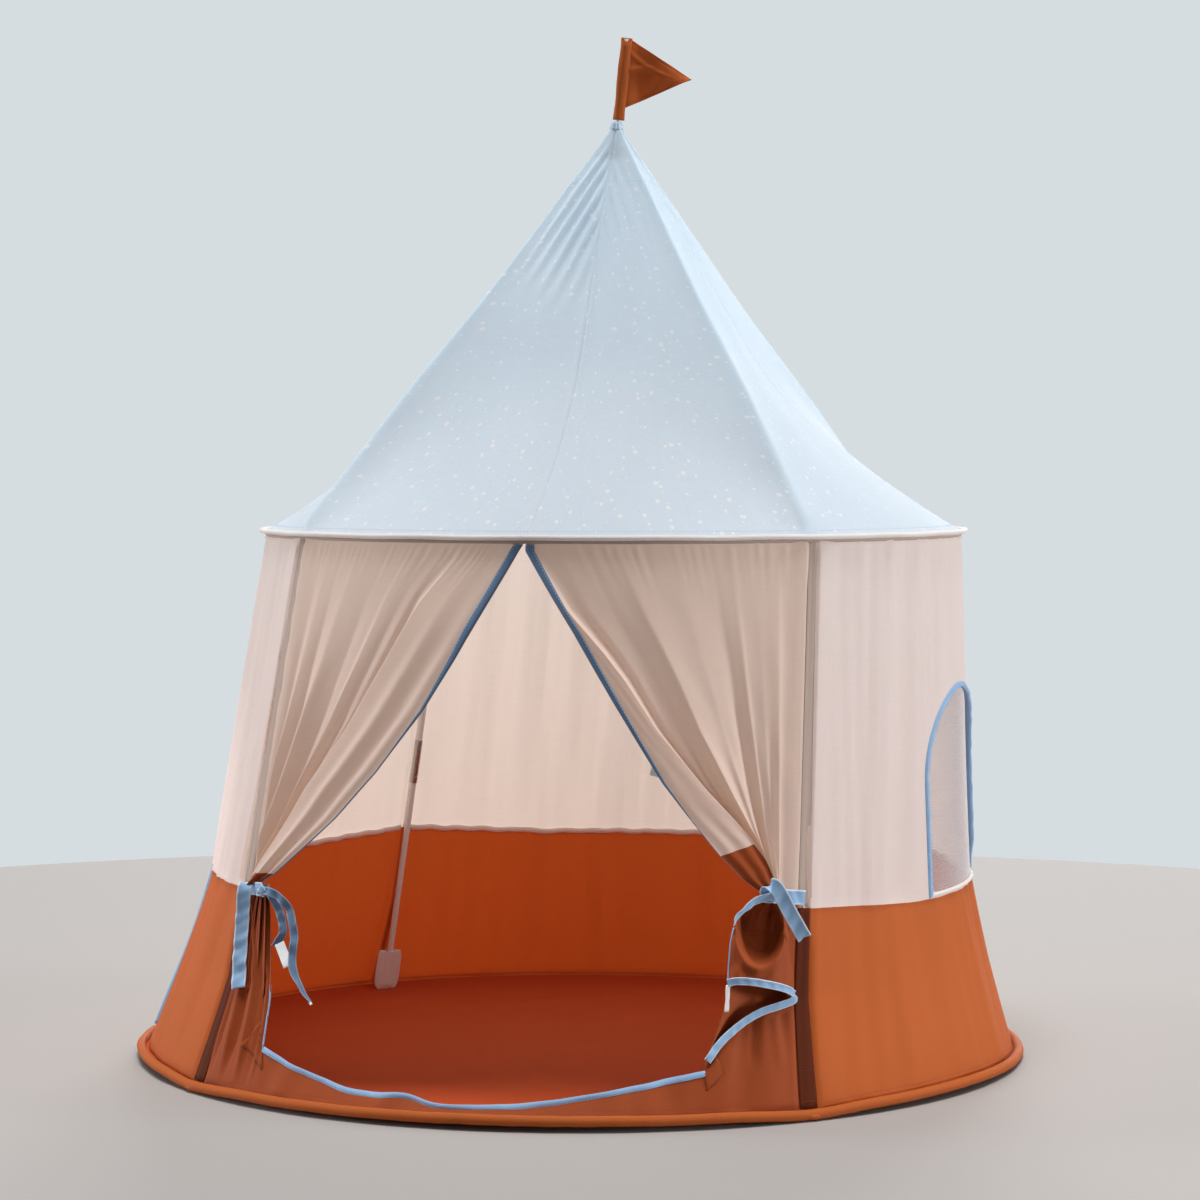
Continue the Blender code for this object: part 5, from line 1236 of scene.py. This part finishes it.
def make_right_tail():
    """A bag of cloth gathered under the tie: hollow at its upper left, with a rounded pouch and a hem."""
    body = "right_tail"
    x, y, s, t = spots_between(
        [(764, 895), (755, 903), (744, 912), (735, 925), (731, 942), (729.3, 961), (728, 981)],
        [(776, 895), (783.5, 903), (787.5, 917), (790, 935), (792.2, 955), (794, 975), (795.5, 994)], 76, 80,
    )
    y = y - 3.2 * np.sin(s * math.pi) * t**2 + t
    proud = lerp(0.013, 0.0125, t) + 0.012 * np.sin(s * math.pi) ** 0.7 * smooth(t * 3.5)
    proud = proud - 0.0115 * smooth((s - 0.88) / 0.12) - 0.002 * smooth((0.08 - s) / 0.08)
    # Folds fan out from the knot.
    fan = 0.0035 * np.sin(s * TURN * 2.6 + 0.9) + 0.0014 * np.sin(s * TURN * 6)
    proud += bump(t / 0.34) * fan
    # The hollow, and the rounded rim of the pouch below it.
    r = np.hypot((x - 760.5) / 25.5, (y - 926) / 41)
    proud -= 0.034 * smooth((1.0 - r) / 0.34) * lerp(0.45, 1, smooth((y - 903) / 10))
    proud += 0.0048 * bump((r - 1.06) / 0.12) * smooth((y - 924) / 18)
    proud -= 0.006 * bump(np.hypot((x - 744) / 9, (y - 921) / 11))
    # A seam across the pouch, and crumples above its hem.
    seam = bump((y - 933.5 - 0.02 * (x - 760)) / 1.6) * smooth((x - 741) / 4) * smooth((787 - x) / 4)
    crumple = smooth((y - 955) / 20) * np.sin(x * 0.33 + y * 0.12) * bump((y - 972) / 14)
    proud += 0.0016 * seam + 0.00144 * crumple + 0.0009 * waves(s * 0.08, t * 0.1, 45, 6, 15, 45, 1.0)
    points = seen_grid(x, y, proud)
    bag = sheet("tail_bag_right", points, "door_rust_painted_shade", body, cloth_uv(points), ["tail_right"])
    out = radial(math.radians(36))
    line = points[int(np.argmin(np.abs(y[:, 40] - 933))), 14:70]
    stitches("tail_stitches_right", line + out * 0.0006, out, "thread_rust", body, 0.0036)
    # The hem's binding runs to the outer fold.
    path = seen_route(HEM, 80)
    more = dict(cup=0.0006, nodes=["tail_right_hem"], wobble=0.0004)
    ribbon("tail_hem_tape", path, UPWARD, 0.0092, "tape", body, 0.0018, **more)
    stitches("tail_hem_stitches", path + out * 0.0016 + UPWARD * 0.0026, out, "thread_blue", body)
    # The bag's bound inner edge and its blank label.
    tube("tail_edge_right", points[34:, 0] - out * 0.0006, 0.0011, "tape", body, sides=8)
    spots = [(728.2, 985, 12), (727.4, 998, 11.5), (726.6, 1012, 10.5)]
    seen_tape("tail_label_right", spots, 12, (0.45, 0, 0.9), 0.0095, "label", body, 0.0006, wobble=0.0003)


def make_tie(label, spot, ring, knot, wraps, band, width):
    """A collar of tape round the gathered cloth, the knot on it, and the band to the pole's seam."""
    body = label + "_tail"
    turn = np.linspace(0, TURN, 40)[:, None]
    wide, deep, drop = ring
    loop = RIGHTWARD * wide * np.sin(turn) + (NEARWARD * deep - UPWARD * drop) * np.cos(turn)
    loop = seen([spot])[0] + loop
    ribbon("tie_collar_" + label, loop, UPWARD, 0.012, "tape", body, cup=0.001, nodes=["tie_" + label])
    # Short turns of tape wound round each other: tilt, depth, height and width of each.
    centre = seen([knot])[0]
    turn = np.linspace(0, TURN, 30)[:, None]
    for name, (tilt, deep, tall, wide) in zip(("tie_knot_%s", "tie_knot_%s_1"), wraps):
        up = UPWARD * math.cos(tilt) + RIGHTWARD * math.sin(tilt)
        loop = centre + NEARWARD * deep * np.cos(turn) + up * tall * np.sin(turn)
        across = np.cross(NEARWARD, up)
        ribbon(name % label, loop, across, wide, "tape", body, 0.0011, cup=0.001, wobble=0.0005)
    # The band runs from the knot out to the pole's seam.
    route = seen_route(band, 30)
    sewn = ribbon("tie_band_" + label, route, UPWARD, width, "tape", None, cup=0.0008)
    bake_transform(sewn)


def make_right_tie():
    body = "right_tail"
    make_tie(
        "right", (769, 896, 0.0135), (0.012, 0.0085, 0.0015), (771, 895.5, 0.0235),
        ((0.25, 0.004, 0.0068, 0.0115), (-0.9, 0.0048, 0.006, 0.0085)),
        [(774, 896, 21.5), (781, 896.4, 19), (790, 897, 13), (799, 897.4, 9), (805, 897.8, 6.5)], 0.018,
    )
    loop = [
        (776, 894, 29), (768, 896.5, 31), (760, 899.5, 29), (751, 904, 26.5), (742, 912, 23.5),
        (736.5, 919, 20.5), (733.5, 925, 17),
    ]
    width = np.linspace(0.0125, 0.0085, 50)
    seen_tape("tie_loop_right", loop, 50, (0.35, 0.8, 0.35), width, "tape", body, cup=0.0008)
    end = [
        (769, 893, 24), (766.5, 888.5, 29), (770, 885.2, 34.5), (776, 887.5, 37.5), (782.5, 898, 37),
        (789.5, 911.5, 34), (797, 925, 30), (804.5, 938, 26),
    ]
    start, finish = np.array([(0.9, 0.5, 0), (0.86, 0.42, 0)])
    across = lerp(start, finish, smooth(np.linspace(0, 1.5, 60))[:, None])
    seen_tape("tie_end_right", end, 60, across, 0.0182, "tape", body, cup=0.001, fray=0.0014, wobble=0.0008)


def make_left_tail():
    """Pleats that hang from the tie and run out into the cloth beside the opening."""
    x, y, s, t = spots_between(
        [(258, 892), (254, 908), (250.5, 935), (248, 965), (246, 996)],
        [(267, 892), (270, 905), (271.3, 935), (271.5, 965), (270.8, 996)], 70, 90,
    )
    proud = lerp(0.012, 0.0008, smooth(t)) - 0.004 * smooth((np.abs(s - 0.5) - 0.38) / 0.12) * (1 - t)
    proud -= 0.003 * smooth((t - 0.92) / 0.08)
    pleats = 0.0034 * np.sin(s * TURN * 3.1 + 0.5 + 0.4 * t) + 0.0016 * np.sin(s * TURN * 7.3 + 1.0)
    points = seen_grid(x, y, proud + pleats * smooth(t * 6 + 0.4) * (1 - 0.45 * t))
    tail = sheet("tail_pleats_left", points, "door_rust_painted_shade", "left_tail", cloth_uv(points), ["tail_left"])


def make_left_tie():
    body = "left_tail"
    make_tie(
        "left", (262.5, 890, 0.012), (0.0085, 0.008, 0.001), (262.5, 890.5, 0.0205),
        ((0.5, 0.004, 0.0062, 0.01), (-0.7, 0.0048, 0.0055, 0.008)),
        [(262, 889, 20.5), (256, 888.5, 19), (250, 888.5, 15), (243, 889, 8.5), (240.5, 889.5, 5.5)], 0.0165,
    )
    # One broad end hangs down in front; two narrow crumpled ones hang inside the door, their tape darkened as
    # painted shade.
    broad = [
        (248.5, 883, 20), (245.4, 884.5, 26), (244, 892, 27), (242.6, 913, 20.5), (241, 938, 17),
        (239.4, 962, 15.5), (238.4, 988, 14.5),
    ]
    more = dict(cup=0.001, fray=0.0012, wobble=0.0009)
    seen_tape("tie_end_left", broad, 70, (0.95, 0, 0.3), 0.019, "tape", body, **more)
    short = [
        (264, 891, 22), (270, 895, 19), (275, 902, 14), (279.5, 912, 10.5), (282.5, 924, 9),
        (282.5, 934, 8.5), (278.5, 941, 8.5), (274, 946.5, 8.5),
    ]
    more = dict(cup=0.0014, wobble=0.0012)
    seen_tape("tie_twist_left", short, 60, (0.8, 0.3, 0.4), 0.01, "tape_painted_shade", body, twist=0.9, **more)
    tag = [(279.3, 943, 8), (283.5, 954, 7.5), (288.3, 966.5, 7)]
    across = (0.93, 0.36, 0)
    seen_tape("tie_label_left", tag, 14, across, 0.0125, "label", body, 0.0006, cup=0.0004, wobble=0.0003)
    long = [
        (264, 890, 22.5), (272, 893, 21.5), (281, 899, 17), (288, 908, 12), (292, 921, 9), (294, 938, 7.5),
        (292.5, 954, 7), (292.8, 968, 7), (298, 982, 6.5), (304.5, 993, 6), (310, 1002.5, 6),
    ]
    width = np.interp(np.linspace(0, 1, 90), [0, 0.72, 1], [0.0105, 0.01, 0.0035])
    more.update(twist=1.1, fray=0.0008)
    seen_tape("tie_tail_left", long, 90, (0.8, 0.25, 0.5), width, "tape_painted_shade", body, **more)
    tip = [(309.5, 1001.8, 6.2), (311.3, 1004.6, 6.2)]
    seen_tape("tie_tip_left", tip, 6, (1, 0, 0), 0.0034, "label", body, fray=0.0006, wobble=0.0)


def make_labels():
    """A blank sewn tab on the right curtain."""
    spots = [(658.5, 764, -1), (656.5, 770, -1), (654.8, 776.5, -1)]
    across = (0.95, -0.2, 0)
    tab = seen_tape("curtain_label_right", spots, 10, across, 0.013, "label", None, 0.0006, wobble=0.0002)
    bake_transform(tab)


# Floor


def make_ground():
    a = circle(240)
    outward_shares = np.concatenate([np.linspace(0.02, 0.93, 62), [0.955, 0.975, 0.988, 0.996, 1.0]])
    azimuth, share = np.meshgrid(a, outward_shares)
    x, y, _ = np.moveaxis((FLOOR_SEAM + 0.002) * share[..., None] * radial(azimuth), -1, 0)
    fold = waves(x, y, 55, 8, 1.5, 5, 1.0) * 0.0013 + waves(y, x, 56, 8, 3, 9, 1.0) * 0.0008
    rim = (floor_lift(azimuth) + FLOOR_TUBE * 0.5) * smooth((share - 0.9) / 0.1)
    z = np.maximum(0.003 + fold * smooth((1 - share) * 6) + rim, 0.0012)
    points = np.stack([x, y, z], -1).reshape(-1, 3)
    centre = len(points)
    points = np.vstack([points, [0, 0, z[0].mean()]])
    faces = grid_faces(len(share), len(a), True, flip=True)
    faces += [(centre, i, (i + 1) % len(a)) for i in range(len(a))]
    uv = points[:, :2]
    ground = piece("ground_cloth", points, faces, "ground", uv=uv, nodes=["groundsheet"], thickness=CLOTH)


# Poles


def pole_points(corner):
    """A pole's foot, its knee at the eaves and its point under the roof."""

    def on_wall(z):
        return place(pole_radius(z), corner_azimuth(corner, z), z)

    ridge_half = (math.pi - math.acos(SLOPE**2 / (2 + SLOPE**2))) / 2
    drop = (FERRULE + ROOM + THICK) / math.sin(ridge_half)
    point_z = APEX_HEIGHT - drop / math.sin(TILT)
    knee_z = (SLOPE * point_z - POLE_FOOT) / (SLOPE + WALL_SLOPE)
    foot_z = THICK + 0.003 + THICK
    return on_wall(foot_z), on_wall(knee_z), place(0.0, EAVES_AZIMUTHS[corner], point_z)


def turned(name, start, end, profile, look, node_name, sides=24):
    """A round piece along a line; profile is (distance from its start, radius) pairs."""
    ahead = unit(end - start)
    run, radii = np.array(profile).T[..., None]
    side = unit(np.cross(ahead, [0.3, 0.2, 1.0] if abs(ahead[2]) < 0.98 else [1.0, 0, 0]))
    angles = circle(sides)
    ring = side * np.cos(angles)[:, None] + np.cross(side, ahead) * np.sin(angles)[:, None]
    points = (start + ahead * run)[:, None] + ring * radii[..., None]
    faces = swept_faces(len(run), sides, flip=True)
    made = piece(name, points, faces, look, nodes=[node_name], uv=flat_uv(angles * ROD, run))
    made.data.set_sharp_from_angle(angle=math.radians(40))


def rod_profile(length, bevel=0.0006):
    ends = [(0, ROD - bevel), (bevel, ROD)]
    middle = [(d, ROD) for d in np.linspace(0.02, length - 0.02, 6)]
    return ends + middle + [(length - d, r) for d, r in ends[::-1]]


def make_poles():
    """Each pole: a wall rod in two lengths with a ferrule, a bent elbow, and a roof rod in two lengths."""
    joint_up, grip, gap = 0.35, 0.02, 0.001
    groove = FERRULE - 0.00035
    crimp = [(0, FERRULE - 0.0004), (0.0004, FERRULE), (0.009, FERRULE), (0.0094, groove), (0.0104, groove)]
    crimp += [(0.0108, FERRULE)]
    ferrule = crimp + [(2 * FERRULE_HALF - d, r) for d, r in crimp[::-1]]
    for corner, label in enumerate(CORNERS):
        foot, knee, point = pole_points(corner)
        up, over = unit(knee - foot), unit(point - knee)
        joint = foot + up * joint_up
        bend = math.acos(float(up @ over))
        normal = unit(np.cross(up, over))
        corner_start = knee - up * ELBOW * math.tan(bend / 2)
        centre = corner_start + np.cross(normal, up) * ELBOW
        arm = corner_start - centre
        turns = np.linspace(0, bend, 10)[:, None]
        arc = centre + arm * np.cos(turns) + np.cross(normal, arm) * np.sin(turns)
        ends = np.array([0.045, ELBOW])[:, None]
        route = np.vstack([knee - up * ends, arc, knee + over * ends[::-1]])
        tube("pole_elbow_" + label, route, FERRULE, "steel", sides=24, up=normal, nodes=["elbow_" + label])
        high_end = knee - up * grip
        start = knee + over * grip
        end = point - over * (0.01 / math.sin(TILT) + gap)
        middle = (start + end) / 2
        half = np.linalg.norm(middle - start)
        sleeve = half - FERRULE_HALF
        low = rod_profile(sleeve)[:-1]
        low += [(sleeve, ROD), (sleeve + 0.0001, FERRULE - 0.0003), (sleeve + 0.0005, FERRULE)]
        low += [(half + 0.032, FERRULE), (half + FERRULE_HALF, FERRULE - 0.0004)]
        wall_low = rod_profile(joint_up - gap)
        wall_high = rod_profile(np.linalg.norm(high_end - joint) - gap)
        for name, a, b, profile, look, replaced in (
            ("pole_low_", foot, joint, wall_low, "rod", "wall_rod_low_"),
            ("pole_high_", joint + up * gap, high_end, wall_high, "rod", "wall_rod_high_"),
            ("pole_ferrule_", joint - up * FERRULE_HALF, joint, ferrule, "steel", "ferrule_"),
            ("roof_low_", start, end, low, "rod", "roof_rod_low_"),
            ("roof_high_", middle + over * gap, end, rod_profile(half - gap), "rod", "roof_rod_high_"),
        ):
            turned(name + label, a, b, profile, look, replaced + label)
        make_pocket(corner, label, foot, up)


def make_pocket(corner, label, foot, up):
    """A sewn pouch with rounded corners; it swells over the pole's foot."""
    front = unit(np.cross(up, np.cross(UPWARD, radial(corner_azimuth(corner, 0.0)))))
    side = np.cross(front, up)
    base = foot - up * 0.0015
    tall, low, top = 0.06, 0.28, 0.8
    u, v = np.meshgrid(np.linspace(-1, 1, 41), np.linspace(0, 1, 45))
    squeeze = np.where(v < low, np.sqrt(np.clip(1 - ((low - v) / low) ** 2, 0, 1)), 1.0)
    squeeze = np.where(v > top, np.sqrt(np.clip(1 - ((v - top) / (1 - top) * 0.75) ** 2, 0, 1)), squeeze)
    x = u * 0.02 * lerp(0.55, 1.0, squeeze)
    swell = lerp(0.0009, ROD + 0.0012, bump(x / 0.0078) * smooth(v * 6 + 0.15))
    swell += 0.0005 * waves(x * 4, v * 0.2, 100 + corner, 6, 8, 22, 0.8) * smooth((1 - np.abs(u)) * 6)
    flat = base + side * x[..., None] + up * (v * tall)[..., None]
    for face, sign, nodes in (("front", 1, ["pocket_" + label]), ("back", -1, ())):
        points = flat + front * (sign * swell)[..., None]
        name = "pocket_%s_%s" % (face, label)
        sheet(name, points, "pocket", uv=flat_uv(x, v * tall), nodes=nodes, offset=0.0)
    # A line of stitches just inside its rim.
    rim = [(-0.0165 * lerp(0.75, 1, smooth(4 - 8 * abs(0.5 - h))), h) for h in (0.95, 0.7, 0.4, 0.2, 0.07)]
    line = curve_through(rim + [(-x, h) for x, h in rim[::-1]], 60)
    for face, sign in (("in", 1), ("out", -1)):
        route = base + side * line[:, :1] + up * (line[:, 1:] * tall) + front * sign * 0.0022
        name = "pocket_stitches_%s_%s" % (face, label)
        stitches(name, route, front * sign, "thread_pale", pitch=0.0034)


# Hub and flag


def make_top():
    for name in ("hub", "stick"):
        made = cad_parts["flag_stick" if name == "stick" else name]
        made.data.materials.clear()
        made.data.materials.append(LOOKS[name][1])
    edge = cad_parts["hub"].modifiers.new("edge", "BEVEL")
    edge.width, edge.segments, edge.limit_method = 0.0006, 2, "ANGLE"
    top = APEX_HEIGHT - (0.01 + 0.00257) / (SLOPE * math.cos(QUARTER))
    core = Vector((float(lean_at(np.array(top))), 0, top))
    axis = Matrix.Translation(core) @ Matrix.Rotation(math.radians(6), 4, "Y")
    turn = np.array(axis @ Matrix.Rotation(math.radians(13), 4, "Z"))

    def at(x, y, z):
        return np.stack([x, y, z], -1) @ turn[:3, :3].T + turn[:3, 3]

    lift, length = 0.024, 0.112
    # The sleeve: a flattened tube of cloth, shut by a seam at the top.
    a, v = np.meshgrid(circle(40), np.linspace(0, 1, 44))
    wide = 0.0079 - 0.0006 * np.sin(v * 9)
    deep = lerp(0.005, 0.0012, smooth((v - 0.9) / 0.1))
    crumple = 1 + 0.04 * waves(a * 0.02, v * 0.11, 120, 6, 12, 40, 1.0)
    points = at(wide * np.cos(a) * crumple + 0.0006, deep * np.sin(a) * crumple, lift + v * length)
    uv = flat_uv(a * 0.007, v * length)
    sheet("flag_sleeve", points, "rust", "pennant", uv, ["flag"], thickness=0.0006, wrap=True)
    # The pennant: two layers that meet at a hemmed point.
    u, w = shares(70, 56)
    foot, peak, tip, reach = 0.15, 0.985, 0.575, 0.0865
    x = 0.007 + reach * u
    z = lift + length * lerp(lerp(foot, tip, u), lerp(peak, tip, u), w)
    y = 0.0045 * np.sin(u * 5.2 + w * 1.6 + 0.4) * smooth(u * 3)
    y += 0.0022 * np.sin(u * 13 - w * 5.0) * smooth(u * 2) * (1 - u)
    y -= 0.0022 * bump((w - 0.55 - 0.35 * u) / 0.05) * smooth((0.5 - u) / 0.3)
    y -= 0.0016 * bump((w - 0.8 + 0.4 * u) / 0.05) * smooth((0.8 - u) / 0.4)
    hem = np.minimum(w, 1 - w) * (1 - u) * 0.09 < 0.005
    points = at(x, y + 0.0004 * hem, z)
    pennant = sheet("flag_cloth", points, "rust", "pennant", flat_uv(x, z), thickness=0.0013, offset=0.0)
    normals = unit(np.cross(np.gradient(points, axis=1), np.gradient(points, axis=0)))
    for name, row in (("low", 3), ("high", -4)):
        out = normals[row, 2:-4]
        out = out if float(out[:, 1].mean()) < 0 else -out
        route = points[row, 2:-4] + out * 0.0009
        stitches("flag_stitches_" + name, route, out, "thread_rust", "pennant", 0.003, 0.0019, 0.00022)


# Studio

# Each lamp's azimuth, height and softness in degrees, then its strength and colour.
LAMPS = {
    "key": (97, 3, 12, 2.34, (0.965, 0.985, 1.0)),
    "fill": (-90, 6, 22, 1.9, (0.985, 0.99, 1.0)),
    "top": (4, 82, 26, 2.9, (1.0, 0.995, 0.985)),
    "back": (186, 8, 28, 2.1, (1.0, 0.99, 0.975)),
}


def make_studio():
    mesh = bpy.data.meshes.new("studio_floor")
    a = circle(96)
    rim = np.stack([2.3 * np.sin(a), 2.3 * np.cos(a), 0 * a], -1)
    mesh.from_pydata(rim.tolist(), [], [tuple(range(96))[::-1]])
    floor = link("studio_floor", mesh)
    mat = bpy.data.materials.new("floor")
    mat.use_nodes = True
    shader = mat.node_tree.nodes["Principled BSDF"]
    shader.inputs["Base Color"].default_value = srgb(160, 155, 152)
    shader.inputs["Roughness"].default_value = 0.85
    mesh.materials.append(mat)
    world = bpy.data.worlds.new("world")
    world.use_nodes = True
    tree = world.node_tree
    tree.nodes.clear()
    ray = node(tree, "ShaderNodeLightPath")
    direct = math_node(tree, "MAXIMUM", ray.outputs["Is Camera Ray"], ray.outputs["Is Glossy Ray"])
    sky = node(tree, "ShaderNodeBackground", {"Color": srgb(232, 235, 238), "Strength": 0.3})
    wall = node(tree, "ShaderNodeBackground", {"Color": srgb(214, 221, 225), "Strength": 1.0})
    both = node(tree, "ShaderNodeMixShader", {0: direct, 1: sky.outputs[0], 2: wall.outputs[0]})
    node(tree, "ShaderNodeOutputWorld", {"Surface": both.outputs[0]})
    bpy.context.scene.world = world
    for name, (azimuth, height, soft, power, colour) in LAMPS.items():
        data = bpy.data.lights.new(name, "SUN")
        data.angle, data.energy, data.color = math.radians(soft), power, colour
        h = math.radians(height)
        ahead = math.cos(h) * radial(math.radians(azimuth)) + math.sin(h) * UPWARD
        link(name, data).rotation_euler = Vector(ahead).to_track_quat("Z", "Y").to_euler()
    bpy.context.scene.view_settings.view_transform = "Standard"


for make in (
    make_camera, make_roof, make_cap, make_piping, make_walls, make_strips, make_window, make_side_strip,
    make_curtains, make_sill, make_jambs, make_patches, make_right_tail, make_right_tie, make_left_tail,
    make_left_tie, make_labels, make_ground, make_poles, make_top, make_studio,
):
    make()
